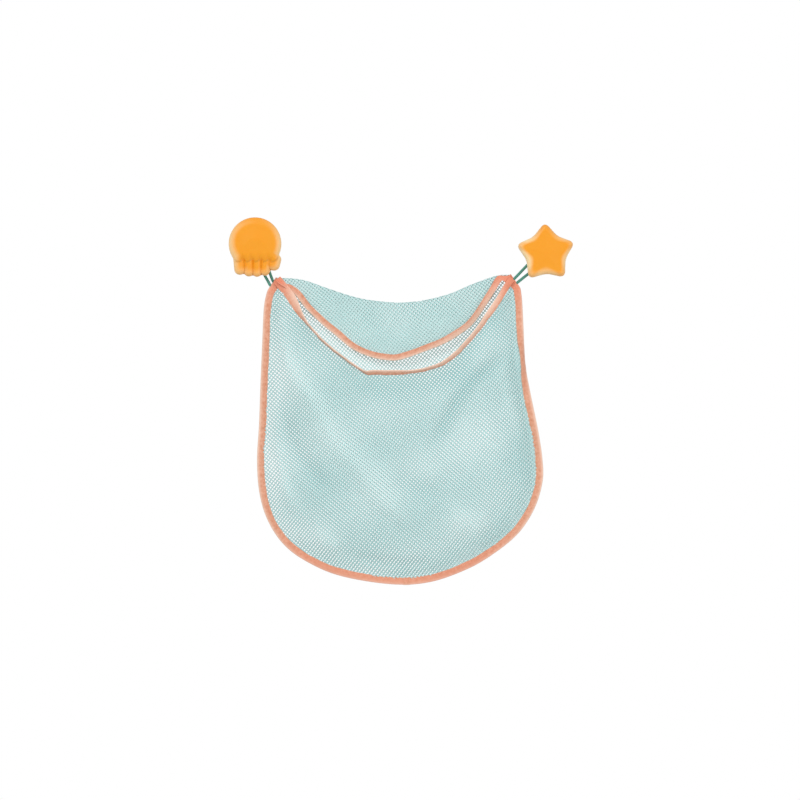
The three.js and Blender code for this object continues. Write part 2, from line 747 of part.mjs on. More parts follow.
const pouch = new THREE.Group();
for (const [name, [solid, material]] of Object.entries(pouchPieces())) {
  pouch.add(piece(name, geometryOf(solid), material));
}
pouch.position.set(0, -pouchStandOff, -pouchTopDrop);

const organizer = new THREE.Group();
organizer.add(jellyfish, star, pouch);
organizer.add(piece('left_loop', elasticLoop(leftLoopRoute), tealElastic));
organizer.add(piece('right_loop', elasticLoop(rightLoopRoute), tealElastic));

export default organizer;
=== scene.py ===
"""Bath toy organizer: a net pouch hung by elastic loops from two suction cups under moulded covers.

Sizes and places are in millimetres where no other unit is named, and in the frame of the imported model: X
runs to the right along the wall, Y runs into the wall and Z runs up, and the origin lies on the wall midway
between the cups. Points become metres where they enter a mesh.
"""

import logging
import math
from abc import ABC, abstractmethod
from collections.abc import Callable, Sequence
from dataclasses import dataclass, field
from enum import Enum
from functools import reduce

import bpy
import numpy as np
from numpy.typing import NDArray
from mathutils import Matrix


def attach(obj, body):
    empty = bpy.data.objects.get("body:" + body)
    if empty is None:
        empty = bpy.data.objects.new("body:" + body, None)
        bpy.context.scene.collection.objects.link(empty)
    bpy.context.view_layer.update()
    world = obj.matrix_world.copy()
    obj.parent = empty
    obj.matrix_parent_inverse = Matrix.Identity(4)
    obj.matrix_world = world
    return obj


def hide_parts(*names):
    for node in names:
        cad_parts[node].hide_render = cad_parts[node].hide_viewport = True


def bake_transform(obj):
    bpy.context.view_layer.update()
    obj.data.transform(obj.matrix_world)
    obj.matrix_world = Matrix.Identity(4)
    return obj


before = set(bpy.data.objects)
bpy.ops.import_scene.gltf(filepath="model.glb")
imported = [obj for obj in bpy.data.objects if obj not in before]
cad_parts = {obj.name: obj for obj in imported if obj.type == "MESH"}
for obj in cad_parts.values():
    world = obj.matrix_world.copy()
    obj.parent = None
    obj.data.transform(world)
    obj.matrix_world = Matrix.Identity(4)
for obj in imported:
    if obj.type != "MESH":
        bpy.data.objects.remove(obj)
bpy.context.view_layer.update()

Array = NDArray[np.float64]
Surface = Callable[[Array], Array]
Inputs = dict[str | int, object]
Tree = bpy.types.NodeTree
Socket = bpy.types.NodeSocket
Material = bpy.types.Material
Object = bpy.types.Object
Pair = tuple[float, float]
Triple = tuple[float, float, float]
METRES = 0.001
log = logging.getLogger("organizer")


class Body(Enum):
    """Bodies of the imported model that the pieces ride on."""

    WALL_HANGERS = "wall_hangers"
    POUCH = "pouch"
    JELLYFISH_HEAD = "jellyfish_head"
    STAR_HEAD = "star_head"


class Slot(Enum):
    """Material slots of the record."""

    ORANGE_PLASTIC = "orange_plastic"
    CLEAR_VINYL = "clear_vinyl"
    TEAL_ELASTIC = "teal_elastic"
    CORAL_TAPE = "coral_tape"
    AQUA_MESH = "aqua_mesh"


# Lines and surfaces


def unit(vectors: Array) -> Array:
    """Vectors of length one, along the last axis."""
    return vectors / np.maximum(np.linalg.norm(vectors, axis=-1, keepdims=True), 1e-12)


def smooth_step(values: Array, start: float, end: Array | float) -> Array:
    """Goes from 0 at start to 1 at end by the cubic 3t^2 - 2t^3."""
    share = np.clip((values - start) / (end - start), 0, 1)
    return share * share * (3 - 2 * share)


def window(values: Array, start: float, full: float, fade: float, end: float) -> Array:
    """Goes from 0 at start to 1 at full, and from 1 at fade back to 0 at end, by two smooth steps."""
    return smooth_step(values, start, full) * smooth_step(-values, -end, -fade)


def bell(values: Array, width: Array | float) -> Array:
    """Goes from 1 at 0 to 0 on both sides by exp(-(x / width)^2)."""
    return np.exp(-((values / width) ** 2))


def at_depth(places: Array, depth: Array | float) -> Array:
    """Points over places given by X and Z, with the given Y."""
    return np.stack([places[:, 0], np.broadcast_to(depth, len(places)), places[:, 1]], axis=1)


def run_of(line: Array) -> Array:
    """Length along a line up to each of its points: the running sum of the steps between them."""
    return np.concatenate([[0], np.cumsum(np.linalg.norm(np.diff(line, axis=0), axis=1))])


def evenly_spaced(line: Array, count: int) -> Array:
    """Points at equal steps of length along a line, by linear interpolation between its own points.

    Args:
        line: Points of the line.
        count: Number of points wanted.

    Returns:
        The new points, the first and the last unchanged.
    """
    run = run_of(line)
    places = np.linspace(0, run[-1], count)
    return np.stack([np.interp(places, run, line[:, k]) for k in range(line.shape[1])], axis=1)


def catmull_rom(points: Array, count: int) -> Array:
    """Smooth line through points. Each span is the cubic that meets its two points with slopes of half the
    chord between each point's neighbours; the ends repeat their own point.

    Args:
        points: Points that the line passes through.
        count: Number of points wanted, at equal steps of length.

    Returns:
        The line's points.
    """
    padded = np.vstack([points[:1], points, points[-1:]])
    before, start, end, after = (padded[k : len(padded) - 3 + k, None] for k in range(4))
    t = np.linspace(0, 1, 24, endpoint=False)[None, :, None]
    leave, arrive = (end - before) / 2, (after - start) / 2
    spans = (
        (2 * t**3 - 3 * t**2 + 1) * start
        + (t**3 - 2 * t**2 + t) * leave
        + (3 * t**2 - 2 * t**3) * end
        + (t**3 - t**2) * arrive
    )
    return evenly_spaced(np.vstack([spans.reshape(-1, points.shape[1]), points[-1:]]), count)


def softened(line: Array, reach: float) -> Array:
    """Line whose corners are eased: a running mean with bell-shaped weights, past straight ends.

    Args:
        line: Points at equal steps.
        reach: Half width of the bell, in the line's own length.

    Returns:
        The eased line, its two ends unchanged.
    """
    step = run_of(line)[-1] / (len(line) - 1)
    half = max(1, int(3 * reach / step))
    head = line[0] - np.arange(half, 0, -1)[:, None] * (line[1] - line[0])
    tail = line[-1] + np.arange(1, half + 1)[:, None] * (line[-1] - line[-2])
    weights = np.exp(-0.5 * (np.arange(-half, half + 1) * step / reach) ** 2)
    weights /= weights.sum()
    padded = np.vstack([head, line, tail])
    eased = np.stack([np.convolve(padded[:, k], weights, "valid") for k in range(line.shape[1])], axis=1)
    eased[0], eased[-1] = line[0], line[-1]
    return eased


def between(values: Array, places: Array) -> Array:
    """Rows of a table at places between its rows, by linear interpolation."""
    steps = np.arange(len(values))
    return np.stack([np.interp(places, steps, column) for column in values.T], axis=1)


def left_normals(line: Array) -> Array:
    """Unit vectors a quarter turn to the left of a flat line's direction at each point."""
    tangent = unit(np.gradient(line, axis=0))
    return np.stack([-tangent[:, 1], tangent[:, 0]], axis=1)


def is_inside(points: Array, outline: Array) -> NDArray[np.bool_]:
    """Whether each point lies in an outline: it does where a ray to its right crosses an odd number of edges.

    Args:
        points: Points to test, two numbers each.
        outline: Corners of the closed outline.

    Returns:
        One truth value per point.
    """
    inside = np.zeros(len(points), bool)
    x, y = points[:, 0], points[:, 1]
    for (ax, ay), (bx, by) in zip(outline, np.roll(outline, -1, axis=0)):
        if ay == by:
            continue
        crosses = (ay > y) != (by > y)
        inside ^= crosses & (x < (bx - ax) * (y - ay) / (by - ay) + ax)
    return inside


def nearest(points: Array, line: Array) -> tuple[Array, NDArray[np.int64]]:
    """Distance from each point to the nearest point of a line, and that point's index.

    Args:
        points: Points to measure.
        line: Points of the line, close together.

    Returns:
        Distances and indices.
    """
    distance = np.empty(len(points))
    index = np.empty(len(points), np.int64)
    for first in range(0, len(points), 4000):
        part = slice(first, first + 4000)
        square = ((points[part, None] - line[None]) ** 2).sum(axis=2)
        index[part] = square.argmin(axis=1)
        distance[part] = np.sqrt(square.min(axis=1))
    return distance, index


def spokes(count: int) -> Array:
    """Unit vectors at equal angles, the first along the first axis."""
    angle = np.arange(count) * 2 * math.pi / count
    return np.stack([np.cos(angle), np.sin(angle)], axis=1)


def rings_of(side: Array, up: Array, count: int) -> Array:
    """Unit vectors at equal angles round each point of a line."""
    turn = spokes(count)[None, :, :, None]
    return side[:, None] * turn[:, :, 0] + up[:, None] * turn[:, :, 1]


def grid_quads(rows: int, columns: int, wraps: bool) -> NDArray[np.int64]:
    """Four-cornered faces between neighbouring rows of a grid of points.

    Args:
        rows: Number of rows.
        columns: Number of points in a row.
        wraps: Whether the last point of a row joins the first.

    Returns:
        One row of four point numbers per face.
    """
    row, column = np.meshgrid(np.arange(rows - 1), np.arange(columns - (not wraps)), indexing="ij")
    here = row * columns + column
    beside = row * columns + (column + 1) % columns
    return np.stack([here, beside, beside + columns, here + columns], axis=-1).reshape(-1, 4)


# Meshes and materials


@dataclass
class Shape:
    """Points in millimetres and the faces between them.

    Args:
        points: X, Y and Z of each point.
        faces: Point numbers of each face.
        values: Named numbers for the materials, one or three per point.
    """

    points: Array
    faces: list[list[int]]
    values: dict[str, Array] = field(default_factory=dict)

    def joined(self, other: "Shape") -> "Shape":
        """Both shapes in one, with the values that both have.

        Args:
            other: Shape to add.

        Returns:
            The joined shape.
        """
        moved = [[k + len(self.points) for k in face] for face in other.faces]
        shared = [name for name in self.values if name in other.values]
        values = {name: np.concatenate([self.values[name], other.values[name]]) for name in shared}
        return Shape(np.vstack([self.points, other.points]), self.faces + moved, values)


@dataclass
class Piece:
    """A piece of the object on its way into the scene.

    Args:
        name: Name of the object.
        shape: Its points and faces.
        body: Body that it rides on.
        slot: Material slot of its finish.
        stands_for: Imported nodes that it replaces.
        crease: Angle in degrees past which an edge stays sharp.
    """

    name: str
    shape: Shape
    body: Body
    slot: Slot
    stands_for: tuple[str, ...] = ()
    crease: float = 40.0

    def place(self, material: Material) -> Object:
        """Makes the mesh object with its material and lets it ride on its body.

        Args:
            material: Finish of the whole piece.

        Returns:
            The new object.
        """
        obj = self.make(material)
        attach(obj, self.body.value)
        return obj

    def make(self, material: Material) -> Object:
        """Makes the mesh object with its material, riding on nothing yet.

        Args:
            material: Finish of the whole piece.

        Returns:
            The new object.
        """
        mesh = bpy.data.meshes.new(self.name)
        mesh.from_pydata((self.shape.points * METRES).tolist(), [], self.shape.faces)
        for name, values in self.shape.values.items():
            kind, field_name = ("FLOAT_VECTOR", "vector") if values.ndim == 2 else ("FLOAT", "value")
            attribute = mesh.attributes.new(name, kind, "POINT")
            attribute.data.foreach_set(field_name, values.astype(np.float32).ravel())
        mesh.polygons.foreach_set("use_smooth", np.ones(len(mesh.polygons), bool))
        mesh.set_sharp_from_angle(angle=math.radians(self.crease))
        mesh.materials.append(material)
        mesh.validate()
        mesh.update()
        obj = bpy.data.objects.new(self.name, mesh)
        bpy.context.scene.collection.objects.link(obj)
        if self.stands_for:
            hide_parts(*self.stands_for)
        log.info("%s: %d faces on %s", self.name, len(mesh.polygons), self.body.value)
        return obj


def linear(code: str) -> tuple[float, float, float, float]:
    """Linear colour of an sRGB hex value: each channel by the sRGB curve.

    Args:
        code: Colour such as "#f6a42e".

    Returns:
        Red, green, blue and an alpha of one.
    """
    channels = [int(code[k : k + 2], 16) / 255 for k in (1, 3, 5)]
    red, green, blue = (c / 12.92 if c <= 0.04045 else ((c + 0.055) / 1.055) ** 2.4 for c in channels)
    return red, green, blue, 1.0


def add_node(
    tree: Tree,
    kind: str,
    settings: dict[str, object] | None = None,
    values: Inputs | None = None,
    links: dict[str | int, Socket] | None = None,
) -> bpy.types.Node:
    """Adds a node with its settings, its unlinked values and the sockets that feed it.

    Args:
        tree: Node tree that gets the node.
        kind: Type name of the node, without the words ShaderNode in front.
        settings: Properties of the node.
        values: Default values by input.
        links: Sockets to link by input.

    Returns:
        The new node.
    """
    node = tree.nodes.new(f"ShaderNode{kind}")
    for name, value in (settings or {}).items():
        setattr(node, name, value)
    for name, value in (values or {}).items():
        node.inputs[name].default_value = value
    for name, socket in (links or {}).items():
        tree.links.new(socket, node.inputs[name])
    return node


# Setting of a mixing node for colours: input 0 is the share, 6 and 7 are the colours and output 2 the blend
OF_COLOURS: dict[str, object] = {"data_type": "RGBA"}


@dataclass(frozen=True)
class Finish(ABC):
    """A material of the scene.

    Args:
        name: Name of the material.
    """

    name: str

    def build(self) -> Material:
        """Makes the material and links its surface to the output.

        Returns:
            The material.
        """
        material = bpy.data.materials.new(self.name)
        material.use_nodes = True
        material.node_tree.nodes.clear()
        surface = self.surface(material.node_tree)
        add_node(material.node_tree, "OutputMaterial", links={"Surface": surface})
        return material

    @abstractmethod
    def surface(self, tree: Tree) -> Socket:
        """Adds the nodes of the surface to the tree and gives the socket of its shader."""


@dataclass(frozen=True)
class MouldedVinyl(Finish):
    """Soft PVC, injection moulded with a satin surface: a faint orange peel and a broad highlight. The
    walls pass a little light. Its edges are painted paler than the face, a painted highlight that is
    strongest on the lower left where the light falls, and each groove is painted darker, as painted shade.

    Args:
        colour: Face colour.
        cloud_colour: Colour that it drifts to.
        edge_highlight_colour: Colour of the painted highlight on the edges.
        groove_shade_colour: Colour of the painted shade in each groove.
        roughness: Roughness of the satin surface.
        peel: Width of one dimple of the orange peel.
        cloud: Width of one drift of the colour.
    """

    name: str = "moulded_satin_pvc"
    colour: str = "#f59c16"
    cloud_colour: str = "#f4a124"
    edge_highlight_colour: str = "#ffe0ab"
    groove_shade_colour: str = "#bb7a16"
    roughness: float = 0.42
    peel: float = 1.6
    cloud: float = 14.0

    def surface(self, tree: Tree) -> Socket:
        """Adds the nodes. The edge colour, a painted highlight, follows the piece's value "edge"; the groove
        colour, a painted shade, follows its "groove".

        Args:
            tree: Node tree of the material.

        Returns:
            The socket of its shader.
        """
        place = add_node(tree, "TexCoord").outputs["Object"]
        edge = add_node(tree, "Attribute", {"attribute_name": "edge"}).outputs["Fac"]
        groove = add_node(tree, "Attribute", {"attribute_name": "groove"}).outputs["Fac"]
        values = {"Scale": 1 / (self.cloud * METRES), "Detail": 2.0}
        cloud = add_node(tree, "TexNoise", {}, values, {"Vector": place}).outputs[0]
        values = {6: linear(self.colour), 7: linear(self.cloud_colour)}
        tint = add_node(tree, "Mix", OF_COLOURS, values, {0: cloud}).outputs[2]
        # mix in the painted highlight on the edges and the painted shade in each groove
        for share, colour in ((edge, self.edge_highlight_colour), (groove, self.groove_shade_colour)):
            links = {0: share, 6: tint}
            tint = add_node(tree, "Mix", OF_COLOURS, {7: linear(colour)}, links).outputs[2]
        values = {"Scale": 1 / (self.peel * METRES), "Detail": 1.0, "Roughness": 0.4}
        peel = add_node(tree, "TexNoise", {}, values, {"Vector": place}).outputs[0]
        values = {"To Min": self.roughness - 0.05, "To Max": self.roughness + 0.06}
        gloss = add_node(tree, "MapRange", {}, values, {"Value": peel}).outputs[0]
        values = {"Strength": 0.12, "Distance": 0.1 * METRES}
        bump = add_node(tree, "Bump", {}, values, {"Height": peel}).outputs[0]
        values = {
            "IOR": 1.53,
            "Specular IOR Level": 0.3,
            "Subsurface Weight": 0.06,
            "Subsurface Radius": (1.0, 0.6, 0.25),
            "Subsurface Scale": 3 * METRES,
        }
        links = {"Base Color": tint, "Roughness": gloss, "Normal": bump}
        return add_node(tree, "BsdfPrincipled", {}, values, links).outputs[0]


@dataclass(frozen=True)
class ClearVinyl(Finish):
    """Clear soft PVC, moulded and glossy, with the faint blue of its plasticiser.

    Args:
        colour: Tint of the light that passes.
        flow_colour: Tint along the flow marks.
        roughness: Roughness of the polished mould's surface.
        flow: Width of one flow mark.
    """

    name: str = "clear_soft_pvc"
    colour: str = "#e6f2f4"
    flow_colour: str = "#f6fbfb"
    roughness: float = 0.12
    flow: float = 9.0

    def surface(self, tree: Tree) -> Socket:
        """Adds the nodes, with flow marks that follow the moulding.

        Args:
            tree: Node tree of the material.

        Returns:
            The socket of its shader.
        """
        place = add_node(tree, "TexCoord").outputs["Object"]
        values = {"Scale": 1 / (self.flow * METRES), "Detail": 2.0, "Distortion": 0.6}
        flow = add_node(tree, "TexNoise", {}, values, {"Vector": place}).outputs[0]
        values = {6: linear(self.colour), 7: linear(self.flow_colour)}
        tint = add_node(tree, "Mix", OF_COLOURS, values, {0: flow}).outputs[2]
        values = {"To Min": self.roughness - 0.04, "To Max": self.roughness + 0.08}
        gloss = add_node(tree, "MapRange", {}, values, {"Value": flow}).outputs[0]
        values = {"IOR": 1.53, "Transmission Weight": 0.8}
        links = {"Base Color": tint, "Roughness": gloss}
        return add_node(tree, "BsdfPrincipled", {}, values, links).outputs[0]


@dataclass(frozen=True)
class KnittedNet(Finish):
    """Polyester net, warp knitted from twisted filament: matt threads with a fine twist, which pass some of
    the light from behind.

    Args:
        colour: Colour of the thread.
        shade: Colour of the thread in painted shade, and of its darker patches at random.
        cloud: Width of one of the random patches.
        twist: Length of one turn of the twist, drawn about twice as coarse as it is.
        glow: Share of the light that passes through from behind.
    """

    name: str = "knitted_polyester_net"
    colour: str = "#daf7f6"
    shade: str = "#a2d3d3"
    cloud: float = 22.0
    twist: float = 0.9
    glow: float = 0.15

    def surface(self, tree: Tree) -> Socket:
        """Adds the nodes. The twist follows the piece's value "thread", millimetres along it. The threads are
        painted paler where its value "taut" is high and darker where it is low, as painted light and shade:
        the share of the shade is 0.28 - 0.5 taut + 0.3 noise.

        Args:
            tree: Node tree of the material.

        Returns:
            The socket of its shader.
        """
        place = add_node(tree, "TexCoord").outputs["Object"]
        thread = add_node(tree, "Attribute", {"attribute_name": "thread"}).outputs["Vector"]
        painted_light = add_node(tree, "Attribute", {"attribute_name": "painted_light"}).outputs["Fac"]
        values = {"Scale": 1 / (self.cloud * METRES), "Detail": 3.0}
        cloud = add_node(tree, "TexNoise", {}, values, {"Vector": place}).outputs[0]
        total = {"operation": "MULTIPLY_ADD"}
        painted_shade = add_node(tree, "Math", total, {1: -0.5, 2: 0.28}, {0: painted_light}).outputs[0]
        total["use_clamp"] = True
        share = add_node(tree, "Math", total, {1: 0.3}, {0: cloud, 2: painted_shade}).outputs[0]
        values = {6: linear(self.colour), 7: linear(self.shade)}
        tint = add_node(tree, "Mix", OF_COLOURS, values, {0: share}).outputs[2]
        values = {"Scale": 1 / self.twist / 2, "Distortion": 0.4}
        settings = {"bands_direction": "DIAGONAL"}
        wave = add_node(tree, "TexWave", settings, values, {"Vector": thread}).outputs["Fac"]
        values = {"Strength": 0.35, "Distance": 0.15 * METRES}
        bump = add_node(tree, "Bump", {}, values, {"Height": wave}).outputs[0]
        values = {"Roughness": 0.75, "Specular IOR Level": 0.2}
        shader = add_node(tree, "BsdfPrincipled", {}, values, {"Base Color": tint, "Normal": bump})
        through = add_node(tree, "BsdfTranslucent", links={"Color": tint})
        links = {1: shader.outputs[0], 2: through.outputs[0]}
        return add_node(tree, "MixShader", {}, {0: self.glow}, links).outputs[0]


@dataclass(frozen=True)
class WovenTape(Finish):
    """Polyester binding tape, woven with fine ribs across it, folded and sewn: matt, painted a little lighter
    on its fold where it catches the light, and deeper in colour where layers are pressed together and along
    the edge tape's bottom.

    Args:
        colour: Colour of the tape.
        cloud_colour: Colour of the patches where its pile lies the other way.
        fold_highlight_colour: Colour of the painted highlight along the fold.
        pressed_colour: Colour at the sewn corners, mixed in part along the edge tape's bottom too.
        rib: Width of one rib, drawn about twice as coarse as it is.
        cloud: Width of one patch.
    """

    name: str = "woven_polyester_binding"
    colour: str = "#efb295"
    cloud_colour: str = "#d68e6d"
    fold_highlight_colour: str = "#fbd9c4"
    pressed_colour: str = "#ec9172"
    rib: float = 1.0
    cloud: float = 4.5

    def surface(self, tree: Tree) -> Socket:
        """Adds the nodes. They follow the piece's values "weave", millimetres along and across it, "fold",
        which is 1 on the fold and paints a highlight there, and "pressed", which is 1 at the corners and also
        deepens the colour along the edge tape's bottom.

        Args:
            tree: Node tree of the material.

        Returns:
            The socket of its shader.
        """
        weave = add_node(tree, "Attribute", {"attribute_name": "weave"}).outputs["Vector"]
        fold = add_node(tree, "Attribute", {"attribute_name": "fold"}).outputs["Fac"]
        pressed = add_node(tree, "Attribute", {"attribute_name": "pressed"}).outputs["Fac"]
        values = {"Scale": 1 / self.cloud, "Detail": 3.0, "Roughness": 0.6}
        cloud = add_node(tree, "TexNoise", {}, values, {"Vector": weave}).outputs[0]
        values = {"From Min": 0.3, "From Max": 0.7}
        share = add_node(tree, "MapRange", {}, values, {"Value": cloud}).outputs[0]
        values = {6: linear(self.colour), 7: linear(self.cloud_colour)}
        tint = add_node(tree, "Mix", OF_COLOURS, values, {0: share}).outputs[2]
        for share, colour in ((fold, self.fold_highlight_colour), (pressed, self.pressed_colour)):
            links = {0: share, 6: tint}
            tint = add_node(tree, "Mix", OF_COLOURS, {7: linear(colour)}, links).outputs[2]
        values = {"Scale": 1 / self.rib / 2, "Distortion": 0.5, "Detail": 1.0}
        rib = add_node(tree, "TexWave", {"bands_direction": "X"}, values, {"Vector": weave}).outputs["Fac"]
        values = {"Strength": 0.45, "Distance": 0.2 * METRES}
        bump = add_node(tree, "Bump", {}, values, {"Height": rib}).outputs[0]
        values = {"Roughness": 0.78, "IOR": 1.5, "Sheen Weight": 0.2}
        return add_node(tree, "BsdfPrincipled", {}, values, {"Base Color": tint, "Normal": bump}).outputs[0]


@dataclass(frozen=True)
class SewingThread(Finish):
    """Spun polyester sewing thread, a tone deeper than the tape it holds.

    Args:
        colour: Colour of the thread.
        light_colour: Colour of its lighter fibres.
        fibre: Length of one change of tone.
    """

    name: str = "spun_polyester_thread"
    colour: str = "#dc8d6c"
    light_colour: str = "#e9a183"
    fibre: float = 1.2

    def surface(self, tree: Tree) -> Socket:
        """Adds the nodes, with the small change of tone of spun yarn.

        Args:
            tree: Node tree of the material.

        Returns:
            The socket of its shader.
        """
        place = add_node(tree, "TexCoord").outputs["Object"]
        values = {"Scale": 1 / (self.fibre * METRES), "Detail": 1.0}
        spun = add_node(tree, "TexNoise", {}, values, {"Vector": place}).outputs[0]
        values = {6: linear(self.colour), 7: linear(self.light_colour)}
        tint = add_node(tree, "Mix", OF_COLOURS, values, {0: spun}).outputs[2]
        return add_node(tree, "BsdfPrincipled", {}, {"Roughness": 0.7}, {"Base Color": tint}).outputs[0]


@dataclass(frozen=True)
class BraidedElastic(Finish):
    """Round elastic with a braided polyester sheath: teal, with a painted highlight on the raised yarns where
    the braid stands up.

    Args:
        colour: Colour in the braid's hollows.
        raised_highlight: Colour of the painted highlight on its raised yarns.
        plait: Length of one plait along the cord.
        slant: Angle of the yarns to the cord, in radians.
    """

    name: str = "braided_elastic"
    colour: str = "#3c826f"
    raised_highlight: str = "#86c6b6"
    plait: float = 1.1
    slant: float = 0.7

    def surface(self, tree: Tree) -> Socket:
        """Adds the nodes: two sets of bands that cross give the plait, which follows the value "braid",
        millimetres along and round the cord.

        Args:
            tree: Node tree of the material.

        Returns:
            The socket of its shader.
        """
        braid = add_node(tree, "Attribute", {"attribute_name": "braid"}).outputs["Vector"]
        bands: dict[str | int, Socket] = {}
        for place, turn in enumerate((self.slant, -self.slant)):
            turned = add_node(tree, "Mapping", {}, {"Rotation": (0, 0, turn)}, {"Vector": braid})
            settings, links = {"bands_direction": "X"}, {"Vector": turned.outputs[0]}
            wave = add_node(tree, "TexWave", settings, {"Scale": 1 / self.plait / 2}, links)
            bands[place] = wave.outputs["Fac"]
        raised = add_node(tree, "Math", {"operation": "MULTIPLY"}, {}, bands).outputs[0]
        # painted highlight on the raised yarns
        values = {6: linear(self.colour), 7: linear(self.raised_highlight)}
        tint = add_node(tree, "Mix", OF_COLOURS, values, {0: raised}).outputs[2]
        values = {"Strength": 0.6, "Distance": 0.25 * METRES}
        bump = add_node(tree, "Bump", {}, values, {"Height": raised}).outputs[0]
        values = {"Roughness": 0.65, "Specular IOR Level": 0.25}
        return add_node(tree, "BsdfPrincipled", {}, values, {"Base Color": tint, "Normal": bump}).outputs[0]


@dataclass(frozen=True)
class MattFloor(Finish):
    """Matt off-white paint of the studio's floor.

    Args:
        colour: Colour of the paint.
    """

    name: str = "matt_white_floor"
    colour: str = "#f4f4f2"

    def surface(self, tree: Tree) -> Socket:
        """Adds the one shader to the tree and gives its socket."""
        values = {"Base Color": linear(self.colour), "Roughness": 0.9}
        return add_node(tree, "BsdfPrincipled", {}, values).outputs[0]


# The pouch

# Outline and seam lines as [share of the width, share of the height down], as in the part's source
OUTER_EDGE_SHARES = (
    (-0.435, 0.01), (-0.465, 0.053), (-0.477, 0.106), (-0.483, 0.223), (-0.489, 0.353), (-0.494, 0.482),
    (-0.501, 0.599), (-0.493, 0.703), (-0.465, 0.791), (-0.411, 0.868), (-0.332, 0.924), (-0.211, 0.972),
    (-0.034, 0.999), (0.099, 0.993), (0.225, 0.954), (0.321, 0.904), (0.411, 0.836), (0.468, 0.756),
    (0.496, 0.672), (0.497, 0.604), (0.482, 0.508), (0.456, 0.391), (0.435, 0.288), (0.43, 0.171),
    (0.425, 0.085), (0.419, 0.044), (0.385, 0.0),
)
FOLD_SHARES = (
    (-0.344, 0.019), (-0.256, 0.046), (-0.169, 0.072), (-0.099, 0.085), (-0.003, 0.092), (0.079, 0.085),
    (0.141, 0.072), (0.186, 0.059), (0.251, 0.033), (0.332, 0.007),
)
FLAP_SHARES = (
    (-0.43, 0.019), (-0.417, 0.03), (-0.366, 0.056), (-0.324, 0.103), (-0.27, 0.152), (-0.225, 0.186),
    (-0.163, 0.233), (-0.107, 0.256), (-0.056, 0.267), (-0.003, 0.267), (0.087, 0.238), (0.152, 0.214),
    (0.211, 0.181), (0.248, 0.152), (0.285, 0.103), (0.318, 0.056), (0.341, 0.02), (0.354, 0.009),
    (0.368, 0.005), (0.382, 0.009),
)
RIM_SHARES = (
    (-0.392, 0.069), (-0.338, 0.144), (-0.27, 0.215), (-0.192, 0.274), (-0.124, 0.315), (-0.09, 0.317),
    (-0.003, 0.317), (0.07, 0.311), (0.141, 0.29), (0.194, 0.256), (0.234, 0.217), (0.27, 0.178),
    (0.31, 0.126), (0.341, 0.085), (0.377, 0.03),
)

# Soft folds of the front panel: start X, Z and end X, Z, height forward, and half width; their heights also
# set painted light and shade on the threads
FRONT_FOLDS = (
    (-156, -92, -90, -228, 6.5, 13.0), (-118, -184, -8, -316, 6.0, 17.0), (-60, -262, 14, -338, 3.0, 12.0),
    (-154, -242, -128, -318, 3.5, 8.0), (64, -236, 138, -246, 1.2, 40.0), (134, -110, 150, -236, 3.5, 11.0),
    (60, -328, 110, -336, 5.0, 19.0), (-106, -350, -72, -366, 3.5, 14.0), (-50, -170, 84, -158, -7.0, 20.0),
    (121, -137, 36, -236, -6.0, 10.0), (132, -64, 62, -160, -6.0, 15.0), (-148, -196, -92, -302, -4.5, 12.0),
    (-10, -282, 52, -294, -4.0, 15.0), (-132, -78, -56, -168, -3.5, 13.0), (-52, -382, 34, -386, -4.0, 9.0),
)
# The same for the back panel
BACK_FOLDS = (
    (-120, -60, -40, -300, 2.6, 18.0),
    (120, -60, 50, -320, 2.6, 20.0),
    (-20, -120, 10, -380, 2.0, 20.0),
)
# Leans of the front panel's tape: X where each starts, is full, fades and ends, and its degrees
RIM_LEANS = (
    (-134, -112, -46, -38, 65),
    (-46, -38, -4, 14, 33),
    (-4, 14, 40, 72, 50),
    (40, 72, 92, 122, 36),
)


